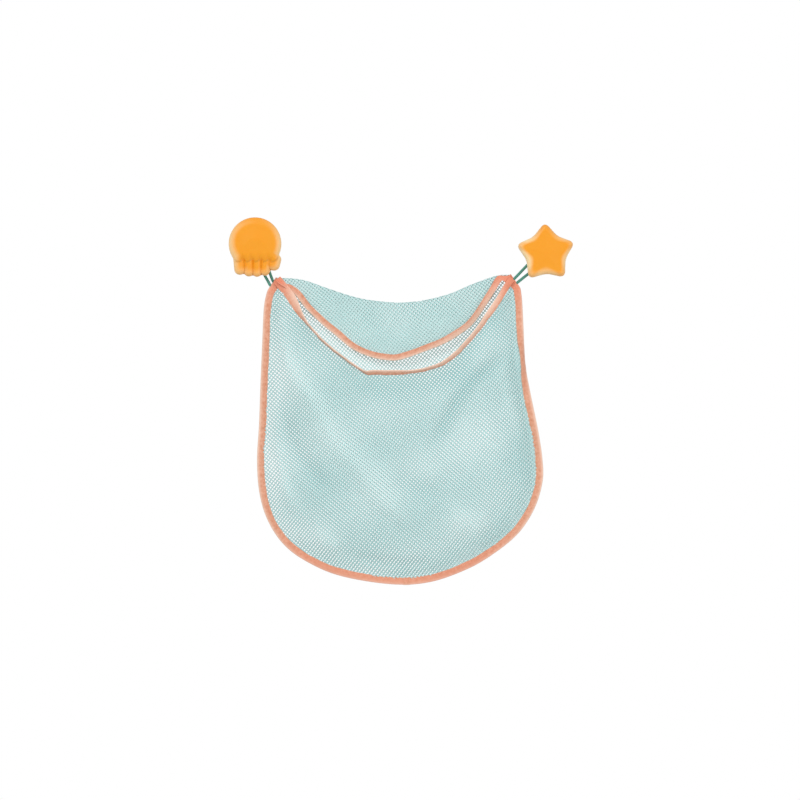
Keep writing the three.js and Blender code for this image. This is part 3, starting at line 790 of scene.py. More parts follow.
@dataclass(frozen=True)
class PouchPattern:
    """The sewn pouch's sizes and lines, as seen from the front.

    Args:
        width: Width of the pouch.
        height: Height of the pouch.
        stand_off: Distance of its edge from the wall.
        top_drop: Height of its top below the middle between the cups.
        panel_offset: Distance of each panel from the middle of the edge tape.
        tape_width: Width of the folded edge tape.
        rim_width: Width of the two folded tapes across the mouth.
        tuck: How far the mouth's lines start inside the outer edge.
        cover: How far the edge tape covers the net.
        flat_edge: Width next to the tape over which the net lies flat.
        belly: How far the front panel stands forward in its middle.
        sag: How far the back panel leans out to the wall in its middle.
        reach: Distance from the edge at which the belly is full.
        taper: Share of the fullness that is lost from top to bottom.
        fold_radius: Radius of the fold along the top of the back panel.
        flap_lift: How far the middle of the flap's hem hangs off the back panel.
    """

    width: float = 355.0
    height: float = 385.0
    stand_off: float = 12.5
    top_drop: float = 29.3
    panel_offset: float = 0.45
    tape_width: float = 9.0
    rim_width: float = 7.8
    tuck: float = 2.0
    cover: float = 2.0
    flat_edge: float = 3.0
    belly: float = 34.0
    sag: float = 11.45
    reach: float = 120.0
    taper: float = 0.12
    fold_radius: float = 1.2
    flap_lift: float = 7.0

    def points(self, shares: Sequence[Pair]) -> Array:
        """Turns a table of shares into places."""
        table = np.array(shares)
        return np.stack([table[:, 0] * self.width, -self.top_drop - table[:, 1] * self.height], axis=1)

    def outer_edge(self) -> Array:
        """The outer edge from the left tip down, round the bottom and up to the right tip, in steps of about
        1.4 mm, with its corners eased over 1.6 mm.

        Returns:
            X and Z of each point.
        """
        corners = self.points(OUTER_EDGE_SHARES)
        line = np.vstack([corners[:1], catmull_rom(corners[1:-1], 420), corners[-1:]])
        return softened(evenly_spaced(line, 900), 1.6)

    def inward(self) -> Array:
        """Directions into the pouch along the outer edge, eased over 6 mm so that a tape fans round corners.

        Returns:
            One unit vector per point of the edge.
        """
        edge = self.outer_edge()
        normals = left_normals(edge)
        return unit(softened(normals, 6.0 / run_of(edge)[-1] * run_of(normals)[-1]))

    def edge_lean(self) -> Array:
        """Angle by which the edge tape is turned out of the pouch's plane, along the outer edge: it wavers
        by two sines, of 9 and 6 degrees, and leans over by 60 along a stretch of the right side.

        Returns:
            One angle per point of the edge, in radians.
        """
        edge = self.outer_edge()
        run = run_of(edge)
        waver = 9 * np.sin(run / 47 + 0.6) + 6 * np.sin(run / 23 + 2.0)
        ends = smooth_step(run, 0, 40) * smooth_step(run[-1] - run, 0, 40)
        stretch = bell(edge[:, 1] + 136, 28) * (edge[:, 0] > 0)
        return np.radians(waver * ends * (1 - stretch) + 60 * stretch)

    def fold_line(self) -> Array:
        """The fold along the top of the back panel, from tip to tip."""
        tucked = self.outer_edge() + self.inward() * self.tuck
        return catmull_rom(np.vstack([tucked[:1], self.points(FOLD_SHARES), tucked[-1:]]), 300)

    def flap_line(self) -> Array:
        """Middle of the flap's tape, from tip to tip."""
        return catmull_rom(self.points(FLAP_SHARES), 300)

    def rim_line(self) -> Array:
        """Middle of the front panel's tape, from just below the left tip to just below the right one."""
        tucked = self.outer_edge() + self.inward() * self.tuck
        return catmull_rom(np.vstack([tucked[3:4], self.points(RIM_SHARES), tucked[-6:-5]]), 320)

    def net_edge(self) -> Array:
        """Line along which the net ends inside the edge tape, as seen from the front."""
        across = (self.tape_width - self.cover) * np.cos(self.edge_lean())
        return self.outer_edge() + self.inward() * across[:, None]


class PouchSurfaces:
    """Depth of the pouch's front, back and flap at any place, worked out from one measured edge."""

    def __init__(self, pattern: PouchPattern) -> None:
        """Measures the edge once.

        Args:
            pattern: Sizes and lines of the pouch.
        """
        self.pattern = pattern
        self.edge = pattern.outer_edge()
        self.lift = (pattern.tape_width - pattern.cover) * np.sin(pattern.edge_lean())
        self.fold = pattern.fold_line()
        self.flap = pattern.flap_line()
        self.rim = pattern.rim_line()

    def fullness(self, places: Array) -> tuple[Array, Array, Array]:
        """How full the belly is: 1 - (1 - t)^3 with t the share of the reach inside the tape, less deep
        towards the bottom.

        Args:
            places: X and Z of each point.

        Returns:
            The fullness, the distance to the outer edge and the forward lift next to a turned tape.
        """
        size = self.pattern
        distance, index = nearest(places, self.edge)
        inward = np.clip((distance - size.tape_width - size.flat_edge) / size.reach, 0, 1)
        taper = 1 + size.taper * (places[:, 1] + size.top_drop) / size.height
        lift = self.lift[index] * bell(distance, 26)
        return (1 - (1 - inward) ** 3) * taper, distance, lift

    def folded(self, places: Array, distance: Array, folds: Sequence[tuple[float, ...]]) -> Array:
        """Height of soft folds: each is a bell across a line that bends by a sine of 7 mm, faded over its
        ends and next to the tape.

        Args:
            places: X and Z of each point.
            distance: Distance of each point to the outer edge.
            folds: Start, end, height and half width of each fold.

        Returns:
            Height forward of each point.
        """
        total = np.zeros(len(places))
        for x0, z0, x1, z1, height, half_width in folds:
            along = np.array([x1 - x0, z1 - z0])
            length = np.linalg.norm(along)
            along = along / length
            offset = places - np.array([x0, z0])
            run = offset @ along
            across = offset @ np.array([-along[1], along[0]]) + 7 * np.sin(run / 31)
            ends = window(run / length, -0.25, 0.3, 0.7, 1.2)
            total += height * bell(across, half_width) * ends
        return total * smooth_step(distance, 9, 34)

    def front_painted_light(self, places: Array) -> Array:
        """Painted light on the front panel: paler on the ridges of its folds and darker in their hollows, by
        their height over 8 mm.
        """
        distance, _ = nearest(places, self.edge)
        return np.clip(0.04 + self.folded(places, distance, FRONT_FOLDS) / 8.0, -1, 1)

    def back_painted_light(self, cloth: Array) -> Array:
        """Painted light on the back panel: pale in the mouth, and painted shade below the rim, behind the
        front panel.
        """
        rim = np.interp(cloth[:, 0], self.rim[:, 0], self.rim[:, 1])
        return 0.85 - 1.1 * smooth_step(rim - cloth[:, 1], -4, 14)

    def flap_tone(self, places: Array) -> Array:
        """How pale the flap is: the same all over."""
        return np.full(len(places), 0.42)

    def front(self, places: Array) -> Array:
        """Points of the front panel over places in the pouch's plane.

        Args:
            places: X and Z of each point.

        Returns:
            X, Y and Z of each point.
        """
        fullness, distance, lift = self.fullness(places)
        size = self.pattern
        folds = self.folded(places, distance, FRONT_FOLDS)
        forward = size.panel_offset + size.belly * fullness + folds + lift
        return at_depth(places, -size.stand_off - forward)

    def back(self, places: Array) -> Array:
        """Points of the back panel, which leans out to the wall in its middle.

        Args:
            places: X and Z of each point.

        Returns:
            X, Y and Z of each point.
        """
        fullness, distance, lift = self.fullness(places)
        size = self.pattern
        ripple = self.folded(places, distance, BACK_FOLDS)
        backward = size.panel_offset + size.sag * fullness - ripple - lift
        return at_depth(places, -size.stand_off + backward)

    def back_and_flap(self, cloth: Array) -> Array:
        """Points of the one sheet that is the back panel, turns over the fold and hangs down as the flap.
        Below the fold the cloth lies on the back panel. Past it, it goes round a half circle and down the
        front, and stands off by the square of the share of the way down, most in the middle.

        Args:
            cloth: X and the height on the cloth before it was folded.

        Returns:
            X, Y and Z of each point.
        """
        size = self.pattern
        radius = size.fold_radius
        base = np.interp(cloth[:, 0], self.fold[:, 0], self.fold[:, 1]) - radius
        past = cloth[:, 1] - base
        turn = np.clip(past / radius, 0, math.pi)
        hang = np.maximum(past - math.pi * radius, 0)
        height = np.minimum(cloth[:, 1], base) + radius * np.sin(turn) - hang
        points = self.back(np.stack([cloth[:, 0], np.where(past > 0, base - hang, cloth[:, 1])], axis=1))
        length = np.maximum(base - np.interp(cloth[:, 0], self.flap[:, 0], self.flap[:, 1]), 4.0)
        span = np.clip((cloth[:, 0] - self.flap[0, 0]) / np.ptp(self.flap[:, 0]), 0, 1)
        bow = np.sin(math.pi * span) * np.clip(hang / length, 0, 1) ** 2
        points[:, 1] -= radius * (1 - np.cos(turn)) + size.flap_lift * bow
        points[:, 2] = height
        return points

    def flap_front(self, places: Array) -> Array:
        """Points of the hanging flap over places in the pouch's plane.

        Args:
            places: X and Z of each point.

        Returns:
            X, Y and Z of each point.
        """
        radius = self.pattern.fold_radius
        base = np.interp(places[:, 0], self.fold[:, 0], self.fold[:, 1]) - radius
        cloth = np.stack([places[:, 0], 2 * base + math.pi * radius - places[:, 1]], axis=1)
        return self.back_and_flap(cloth)


@dataclass(frozen=True)
class Net:
    """Square net of crossing threads, laid over a surface.

    Args:
        pitch: Distance between threads.
        angles: Directions of the two sets of threads, in degrees above X.
        thread_width: Width of a thread.
        thread_depth: Thickness of a thread.
        phase: Shift of the net along both sets of threads, as a share of the pitch.
        drift: How far the cloth is pulled aside here and there.
        centre: X and Z of the place where two nets without a shift would meet thread on thread.
    """

    pitch: float = 3.4
    angles: Pair = (-39.0, 52.7)
    thread_width: float = 1.18
    thread_depth: float = 0.6
    phase: float = 0.0
    drift: float = 0.0
    centre: Pair = (0.0, -220.0)

    def directions(self) -> Array:
        """Unit vectors along the two sets of threads."""
        angles = np.radians(self.angles)
        return np.stack([np.cos(angles), np.sin(angles)], axis=1)

    def lattice(self, low: Array, high: Array) -> tuple[Array, int]:
        """Crossings of the net over a box: steps of one pitch along both directions, warped by a millimetre
        as a soft net is.

        Args:
            low: Lowest corner of the box.
            high: Highest corner of the box.

        Returns:
            The crossings row by row, and the number of them in a row.
        """
        directions = self.directions()
        middle = np.array(self.centre)
        half = int(np.linalg.norm(np.maximum(high - middle, middle - low)) / self.pitch) + 4
        steps = (np.arange(-half, half + 1) + self.phase) * self.pitch
        row, column = np.meshgrid(steps, steps, indexing="ij")
        places = middle + row[..., None] * directions[0] + column[..., None] * directions[1]
        x, z = places[..., 0], places[..., 1]
        warp_x = 0.9 * np.sin(x / 41 + z / 67) + 0.5 * np.sin(z / 23 - x / 58)
        warp_z = 0.9 * np.sin(z / 47 - x / 53 + 1.0) + 0.5 * np.sin(x / 26 + z / 71)
        warp_x += self.drift * np.sin(x / 29 - z / 17 + 0.4)
        warp_z += self.drift * np.sin(x / 15 + z / 24 + 2.1)
        places = places + np.stack([warp_x, warp_z], axis=-1)
        return places.reshape(-1, 2), len(steps)

    def over(self, surface: Surface, outline: Array, tone: Surface) -> tuple[Shape, float]:
        """The net over a surface: at each crossing every thread has a ring of four points, left, front,
        right and back of its middle, and four faces join it to the next ring along the thread.

        Args:
            surface: Gives the point in space over each place.
            outline: Closed outline of the cloth. Crossings just outside it are moved onto it, so that the
                threads end along a clean line.
            tone: Gives the painted light and shade at each place, from -1 to 1.

        Returns:
            The threads, with the value "thread" in millimetres along and round them and "taut" for painted
            light
            and shade, and the area of the cloth: the sum of one crossing's parallelogram at each crossing.
        """
        places, count = self.lattice(outline.min(axis=0), outline.max(axis=0))
        covered = is_inside(places, outline)
        dense = evenly_spaced(np.vstack([outline, outline[:1]]), 4 * len(outline))
        near = np.flatnonzero(~covered)
        distance, index = nearest(places[near], dense)
        moved = distance < 0.75 * self.pitch
        places[near[moved]] = dense[index[moved]]
        covered[near[moved]] = True
        kept = np.flatnonzero(covered)
        number = np.full(len(places), -1)
        number[kept] = np.arange(len(kept))
        middle = surface(places[kept])
        # painted light and shade of each crossing
        painted_light = tone(places[kept])
        slopes = []
        for direction in self.directions():
            ahead, behind = (surface(places[kept] + side * direction) for side in (0.5, -0.5))
            slopes.append(ahead - behind)
        area = self.pitch**2 * float(np.linalg.norm(np.cross(slopes[1], slopes[0]), axis=1).sum())
        along = [unit(slope) for slope in slopes]
        normal = unit(np.cross(along[1], along[0]))
        number = number.reshape(-1, count)
        shapes = []
        for axis in range(2):
            side = np.cross(along[axis], normal)
            centre = middle + normal * self.thread_depth * (0.18 if axis else -0.18)
            wide, deep = self.thread_width / 2, self.thread_depth / 2
            offsets = (side * wide, normal * deep, -side * wide, -normal * deep)
            rings = np.stack([centre + offset for offset in offsets], axis=1)
            shapes.append(self.threads(rings, painted_light, number if axis == 0 else number.T))
        return shapes[0].joined(shapes[1]), area

    def threads(self, rings: Array, painted_light: Array, grid: NDArray[np.int64]) -> Shape:
        """One set of threads.

        Args:
            rings: Four points round each crossing.
            painted_light: Painted light and shade at each crossing.
            grid: Number of the crossing at each row and column, -1 where there is none; threads run down
                the columns.

        Returns:
            The threads as one shape.
        """
        here, beyond = grid[:-1], grid[1:]
        joined = (here >= 0) & (beyond >= 0)
        a, b = here[joined], beyond[joined]
        k = np.arange(4)
        after = (k + 1) % 4
        near, far = 4 * a[:, None], 4 * b[:, None]
        sides = np.stack([near + k, far + k, far + after, near + after], axis=-1)
        edge = np.zeros((1, grid.shape[1]), bool)
        starts = here[joined & ~np.vstack([edge, joined[:-1]])]
        ends = beyond[joined & ~np.vstack([joined[1:], edge])]
        caps = np.vstack([4 * starts[:, None] + k, 4 * ends[:, None] + k[::-1]])
        faces = np.vstack([sides.reshape(-1, 4), caps])
        used, faces = np.unique(faces, return_inverse=True)
        run = np.zeros(len(rings))
        row = np.broadcast_to(np.arange(grid.shape[0])[:, None], grid.shape)
        run[grid[grid >= 0]] = row[grid >= 0] * self.pitch
        thread = np.stack([np.repeat(run, 4), np.tile(k * 0.6, len(rings)), np.zeros(4 * len(rings))], axis=1)
        values = {"thread": thread[used], "painted_light": np.repeat(painted_light, 4)[used]}
        return Shape(rings.reshape(-1, 3)[used], faces.reshape(-1, 4).tolist(), values)


@dataclass
class FoldedTape:
    """Tape folded over an edge: a rounded, slightly bulged section carried along a line.

    Args:
        fold: Points of the fold.
        inward: Direction from the fold to the open edges at each point.
        width: Width of the folded tape at each point.
        half_depth: Half its thickness.
        pressed: How deep the colour is at each point, from 0 to 1: where the layers are pressed together, and
            along the edge tape's bottom.
        fold_highlight: Share of the width from the fold that gets the painted highlight, at each point.
    """

    fold: Array
    inward: Array
    width: Array
    half_depth: float
    pressed: Array
    fold_highlight: Array

    def normals(self) -> Array:
        """Directions out of the tape's front face."""
        tangent = unit(np.gradient(self.fold, axis=0))
        return unit(np.cross(self.inward, tangent))

    def section(self) -> Array:
        """Section of the tape: a bulged front face, a round fold and the same back face.

        Returns:
            Share of the width from the fold and share of the half depth of each point.
        """
        across = np.array([1.0, 0.86, 0.66, 0.45, 0.28])
        bulge = np.array([0.62, 0.86, 1.0, 1.0, 0.97])
        turn = np.linspace(0, math.pi, 7)
        fold = np.stack([0.14 - 0.14 * np.sin(turn), np.cos(turn) * 0.93], axis=1)
        front = np.stack([across, bulge], axis=1)
        return np.vstack([front, fold, front[::-1] * [1, -1]])

    def puckers(self, run: Array, across: Array) -> Array:
        """Puckers of a sewn tape: three sines of unlike length along it, deeper towards the open edge."""
        wave = 0.16 * np.sin(run / 1.9 + 0.5) + 0.2 * np.sin(run / 3.7) + 0.16 * np.sin(run / 8.3 + 1.2)
        return wave * (0.35 + 0.65 * across)

    def at(self, run_index: Array, across: Array, side: float) -> Array:
        """Points on the tape's face.

        Args:
            run_index: Places along the tape, in steps of its line.
            across: Share of the width from the fold.
            side: Plus one for the front face, minus one for the back.

        Returns:
            The points.
        """
        face = self.section()[5::-1]
        steps = np.arange(len(self.fold))
        offset = side * np.interp(across, face[:, 0], face[:, 1]) * self.half_depth
        offset += self.puckers(np.interp(run_index, steps, run_of(self.fold)), across)
        reach = across * np.interp(run_index, steps, self.width)
        fold, inward, normal = (between(v, run_index) for v in (self.fold, self.inward, self.normals()))
        return fold + unit(inward) * reach[:, None] + unit(normal) * offset[:, None]

    def shape(self) -> Shape:
        """The whole tape: its section at each point of the fold, whose width wavers by two sines.

        Returns:
            The tape, with its values "weave", "fold" and "pressed".
        """
        section = self.section()
        run = run_of(self.fold)
        wobble = 1 + 0.02 * np.sin(run / 13) + 0.015 * np.sin(run / 5.1)
        across = section[None, :, 0] * (self.width * wobble)[:, None]
        pucker = self.puckers(run[:, None], section[None, :, 0])
        depth = section[None, :, 1] * self.half_depth + pucker
        points = self.fold[:, None] + self.inward[:, None] * across[..., None]
        points += self.normals()[:, None] * depth[..., None]
        rows, columns = depth.shape
        faces = grid_quads(rows, columns, True).tolist()
        faces += [list(range(columns))[::-1], [(rows - 1) * columns + k for k in range(columns)]]
        round_it = run_of(section * [self.width.mean(), 1])
        weave = np.stack([np.repeat(run, columns), np.tile(round_it, rows), np.zeros(rows * columns)], axis=1)
        # painted highlight along the fold, where it catches the light
        fold = 0.8 * bell(section[None, :, 0], self.fold_highlight[:, None]).ravel()
        values = {"weave": weave, "fold": fold, "pressed": np.repeat(self.pressed, columns)}
        return Shape(points.reshape(-1, 3), faces, values)

    def stitches(self, stitch: float = 2.4, gap: float = 0.7, across: float = 0.82) -> Shape:
        """Lock stitches along both faces: each is a short spindle of thread pressed into the tape.

        Args:
            stitch: Length of a stitch.
            gap: Length between stitches.
            across: Share of the width at which they run.

        Returns:
            All the stitches as one shape.
        """
        run = run_of(self.fold)
        steps = np.arange(len(self.fold))
        starts = np.arange(3.0, run[-1] - 3.0 - stitch, stitch + gap)
        shapes = []
        for side in (1.0, -1.0):
            ends = [np.interp(starts + shift, run, steps) for shift in (0.0, stitch)]
            tail, head = (self.at(e, np.full(len(e), across), side) for e in ends)
            shapes.append(spindles(tail, head, 0.28))
        return shapes[0].joined(shapes[1])


def spindles(tails: Array, heads: Array, radius: float) -> Shape:
    """Short threads from each tail to its head: a ring of four points at a fifth and at four fifths of the
    way, closed on the two ends.

    Args:
        tails: First end of each thread.
        heads: Second end of each thread.
        radius: Radius of the thread.

    Returns:
        All the threads as one shape.
    """
    along = unit(heads - tails)
    side = unit(np.cross(along, np.array([0.3, 1.0, 0.2])))
    ring = rings_of(side, np.cross(side, along), 4) * radius
    near, far = (tails[:, None] + (heads - tails)[:, None] * share + ring for share in (0.2, 0.8))
    points = np.concatenate([tails[:, None], near, far, heads[:, None]], axis=1)
    base = (np.arange(len(tails)) * 10)[:, None]
    faces: list[list[int]] = []
    for k in range(4):
        after = (k + 1) % 4
        for face in ([0, 1 + after, 1 + k], [1 + k, 1 + after, 5 + after, 5 + k], [5 + k, 5 + after, 9]):
            faces += (base + np.array([face])).tolist()
    return Shape(points.reshape(-1, 3), faces)


@dataclass
class Pouch:
    """The sewn pouch: two panels of net, three folded tapes and their stitching.

    Args:
        pattern: Its sizes and lines.
        layer: Half the thickness of the edge tape.
        mouth_layer: Half the thickness of the two tapes across the mouth.
        front_net: Net of the front panel.
        back_net: Net of the back panel.
        flap_net: Net of the flap, where the back panel has turned over.
        front_length: Length of the front panel before it was sewn; not used.
        back_length: Length of the back panel with its flap before it was sewn; not used.
    """

    pattern: PouchPattern = field(default_factory=PouchPattern)
    layer: float = 1.35
    mouth_layer: float = 0.85
    front_net: Net = Net()
    back_net: Net = Net(pitch=3.418, phase=0.19, drift=0.2)
    flap_net: Net = Net(pitch=3.41, phase=0.58, drift=0.6)
    front_length: float = 360.0
    back_length: float = 470.0

    def build(self, net: Material, tape: Material, thread: Material) -> None:
        """Makes every piece of the pouch.

        Args:
            net: Finish of the panels.
            tape: Finish of the tapes.
            thread: Finish of the stitches.
        """
        surfaces = PouchSurfaces(self.pattern)
        edge_tape = self.edge_tape()
        rim_tape, rim_foot = self.rim_tape(surfaces)
        flap_tape, flap_foot = self.flap_tape(surfaces)
        front, front_area = self.front_piece(surfaces, rim_foot)
        back, back_area = self.back_piece(surfaces, flap_foot)
        sheets = ((front, self.front_length, front_area), (back, self.back_length, back_area))
        for piece, length, area in sheets:
            log.info("%s: cloth of %.4f square metres", piece.name, area * METRES**2)
            piece.place(net)
        for name, folded in {"perimeter": edge_tape, "front_rim": rim_tape, "flap": flap_tape}.items():
            nodes = (f"{name}_binding",)
            Piece(f"{name}_tape", folded.shape(), Body.POUCH, Slot.CORAL_TAPE, nodes, 50).place(tape)
            Piece(f"{name}_stitching", folded.stitches(), Body.POUCH, Slot.CORAL_TAPE).place(thread)
        Piece("binding_lap", self.lap(edge_tape).shape(), Body.POUCH, Slot.CORAL_TAPE, crease=50).place(tape)
        Piece("corner_tacks", self.tacks(edge_tape), Body.POUCH, Slot.CORAL_TAPE).place(thread)

    def edge_tape(self) -> FoldedTape:
        """The tape round the outer edge, turned out of the pouch's plane where it leans.

        Returns:
            The tape.
        """
        size = self.pattern
        edge = size.outer_edge()
        lean = size.edge_lean()
        fold = at_depth(edge, -size.stand_off)
        direction = at_depth(size.inward() * np.cos(lean)[:, None], -np.sin(lean))
        run = run_of(fold)
        pressed = 0.7 * bell(run, 26) + 1.15 * bell(run[-1] - run, 32)
        # deeper in colour along the bottom as well, by the same mix as the pressed corners
        pressed += 0.42 * smooth_step(-edge[:, 1], 340, 395)
        width, light = np.full(len(edge), size.tape_width), np.full(len(edge), 0.24)
        return FoldedTape(fold, unit(direction), width, self.layer, pressed, light)

    def rim_tape(self, surfaces: PouchSurfaces) -> tuple[FoldedTape, Array]:
        """The front panel's top tape. Its fold flops forward by 12 degrees and by what RIM_LEANS adds.

        Args:
            surfaces: Surfaces of the pouch.

        Returns:
            The tape, and the line of its open edge in the pouch's plane.
        """
        line = self.pattern.rim_line()
        x = line[:, 0]
        lean = np.radians(12 + sum(angle * window(x, *span) for *span, angle in RIM_LEANS))
        open_end = 1 - smooth_step(x, -138, -118)
        return self.hung_tape(line, lean, surfaces.front, 4.2, open_end)

    def flap_tape(self, surfaces: PouchSurfaces) -> tuple[FoldedTape, Array]:
        """The flap's tape, which hangs nearly flat to the viewer.

        Args:
            surfaces: Surfaces of the pouch.

        Returns:
            The tape, and the line of its open edge in the pouch's plane.
        """
        line = self.pattern.flap_line()
        run = run_of(line)
        left_end = 1 - smooth_step(line[:, 0], -146, -134)
        lean = np.radians(8 + 5 * np.sin(run / 29 + 1.1) + 4 * np.sin(run / 13) + 50 * left_end)
        return self.hung_tape(line, lean, surfaces.flap_front, 2.6, np.zeros(len(line)), above=True)

    def hung_tape(
        self,
        line: Array,
        lean: Array,
        surface: Surface,
        corner_lift: float,
        open_end: Array,
        above: bool = False,
    ) -> tuple[FoldedTape, Array]:
        """A tape across the mouth.

        Args:
            line: Middle of the tape as seen from the front.
            lean: Angle by which its fold is turned forward.
            surface: Surface of the panel that it binds.
            corner_lift: How far it lies in front of the edge tape's middle at the corners.
            open_end: How far it has come open at each point, from 0 to 1. There it is wider, and so is its
                painted highlight along the fold.
            above: Whether the panel lies above the tape, and its fold below.

        Returns:
            The tape, and the line of its open edge in the pouch's plane.
        """
        size = self.pattern
        upward = left_normals(line)
        to_panel = upward if above else -upward
        half = size.rim_width * np.cos(lean) / 2
        foot = line + to_panel * half[:, None]
        seat = surface(foot)
        distance, _ = nearest(foot, size.outer_edge())
        floor = -size.stand_off - corner_lift * (1 - smooth_step(distance, 8, 34))
        seat[:, 1] = np.minimum(seat[:, 1], floor)
        direction = at_depth(to_panel * np.cos(lean)[:, None], np.sin(lean))
        width = size.rim_width * (1 + 0.45 * open_end)
        fold = softened(seat - direction * width[:, None], 1.5)
        run = run_of(fold)
        pressed = bell(run, 20) + bell(run[-1] - run, 24)
        # the painted highlight is wider where the tape is open and on a stretch right of the middle
        light = 0.34 + 0.24 * open_end + 0.4 * window(line[:, 0], 20, 70, 112, 140)
        inward = unit(softened(direction, 0.02))
        return FoldedTape(fold, inward, width, self.mouth_layer, pressed, light), foot

    def front_piece(self, surfaces: PouchSurfaces, rim_foot: Array) -> tuple[Piece, float]:
        """The front panel of net, from the edge tape up to the rim tape.

        Args:
            surfaces: Surfaces of the pouch.
            rim_foot: Line of the rim tape's open edge.

        Returns:
            The piece and the area of its cloth.
        """
        top = rim_foot + left_normals(rim_foot) * 0.9
        outline = np.vstack([self.pattern.net_edge(), top[::-1]])
        shape, area = self.front_net.over(surfaces.front, outline, surfaces.front_painted_light)
        return Piece("front_net", shape, Body.POUCH, Slot.AQUA_MESH, ("front_panel",), 90), area

    def back_piece(self, surfaces: PouchSurfaces, flap_foot: Array) -> tuple[Piece, float]:
        """The back panel of net, with the flap that its top turns over into. Their threads meet on the fold.

        Args:
            surfaces: Surfaces of the pouch.
            flap_foot: Line of the flap tape's open edge.

        Returns:
            The piece and the area of its cloth.
        """
        crest = surfaces.fold + np.array([0.0, self.pattern.fold_radius * (math.pi / 2 - 1)])
        back_outline = np.vstack([self.pattern.net_edge(), crest[::-1]])
        back, back_area = self.back_net.over(surfaces.back_and_flap, back_outline, surfaces.back_painted_light)
        hem = flap_foot - left_normals(flap_foot) * 1.2
        flap_outline = np.vstack([hem, crest[::-1]])
        flap, flap_area = self.flap_net.over(surfaces.flap_front, flap_outline, surfaces.flap_tone)
        piece = Piece("back_net", back.joined(flap), Body.POUCH, Slot.AQUA_MESH, ("back_panel",), 90)
        return piece, back_area + flap_area

    def lap(self, edge_tape: FoldedTape) -> FoldedTape:
        """The end of the edge tape, folded under and sewn over its start at the bottom.

        Args:
            edge_tape: Tape round the outer edge.

        Returns:
            A short, slightly wider tape over it.
        """
        low = edge_tape.fold[:, 2] < -390
        middle = int(np.argmin(np.where(low, np.abs(edge_tape.fold[:, 0] - 8), np.inf)))
        part = slice(middle - 4, middle + 5)
        fold = edge_tape.fold[part] - edge_tape.inward[part] * 0.35
        width, pressed, light = np.full(9, 9.5), np.full(9, 0.15), np.full(9, 0.1)
        return FoldedTape(fold, edge_tape.inward[part], width, self.layer + 0.4, pressed, light)

    def tacks(self, edge_tape: FoldedTape) -> Shape:
        """Bar tacks that hold the elastic at each corner: a row of close stitches across the tape.

        Args:
            edge_tape: Tape round the outer edge.

        Returns:
            All the tacks as one shape.
        """
        run = run_of(edge_tape.fold)
        steps = np.arange(len(run))
        shapes = []
        for start in (5.5, 11.5, run[-1] - 12.0, run[-1] - 6.0):
            places = np.interp(start + np.arange(7) * 0.45, run, steps)
            low, high = (edge_tape.at(places, np.full(7, across), 1.0) for across in (0.2, 0.62))
            shapes.append(spindles(low, high, 0.24))
        return reduce(Shape.joined, shapes)


# Elastic loops

# Middle of each loop from one sewn end round the cup's neck to the other, as in the part's source
LEFT_LOOP_ROUTE = (
    (-162.0, -12.5, -42.5), (-164.9, -12.4, -37.1), (-167.9, -12.3, -31.7), (-173.8, -12.2, -21.0),
    (-179.7, -12.0, -10.2), (-185.6, -11.8, 0.5), (-186.4, -11.8, 3.9), (-185.3, -11.8, 7.2),
    (-182.6, -11.8, 9.4), (-179.2, -11.8, 9.9), (-176.0, -11.8, 8.6), (-174.0, -11.8, 5.8),
    (-170.1, -12.0, -5.0), (-166.3, -12.2, -15.8), (-162.4, -12.3, -26.6), (-160.5, -12.4, -32.0),
    (-158.5, -12.5, -37.4),
)
RIGHT_LOOP_ROUTE = (
    (141.4, -12.5, -34.9), (146.0, -12.4, -30.2), (150.3, -12.3, -25.6), (158.7, -12.2, -16.8),
    (167.0, -12.0, -8.0), (175.4, -11.8, 0.8), (178.3, -11.8, 2.6), (181.8, -11.8, 2.5),
    (184.7, -11.8, 0.7), (186.3, -11.8, -2.3), (186.0, -11.8, -5.8), (184.0, -11.8, -8.6),
    (174.4, -12.0, -16.3), (164.9, -12.2, -23.9), (155.3, -12.3, -31.6), (150.3, -12.4, -35.6),
    (145.1, -12.5, -39.8),
)


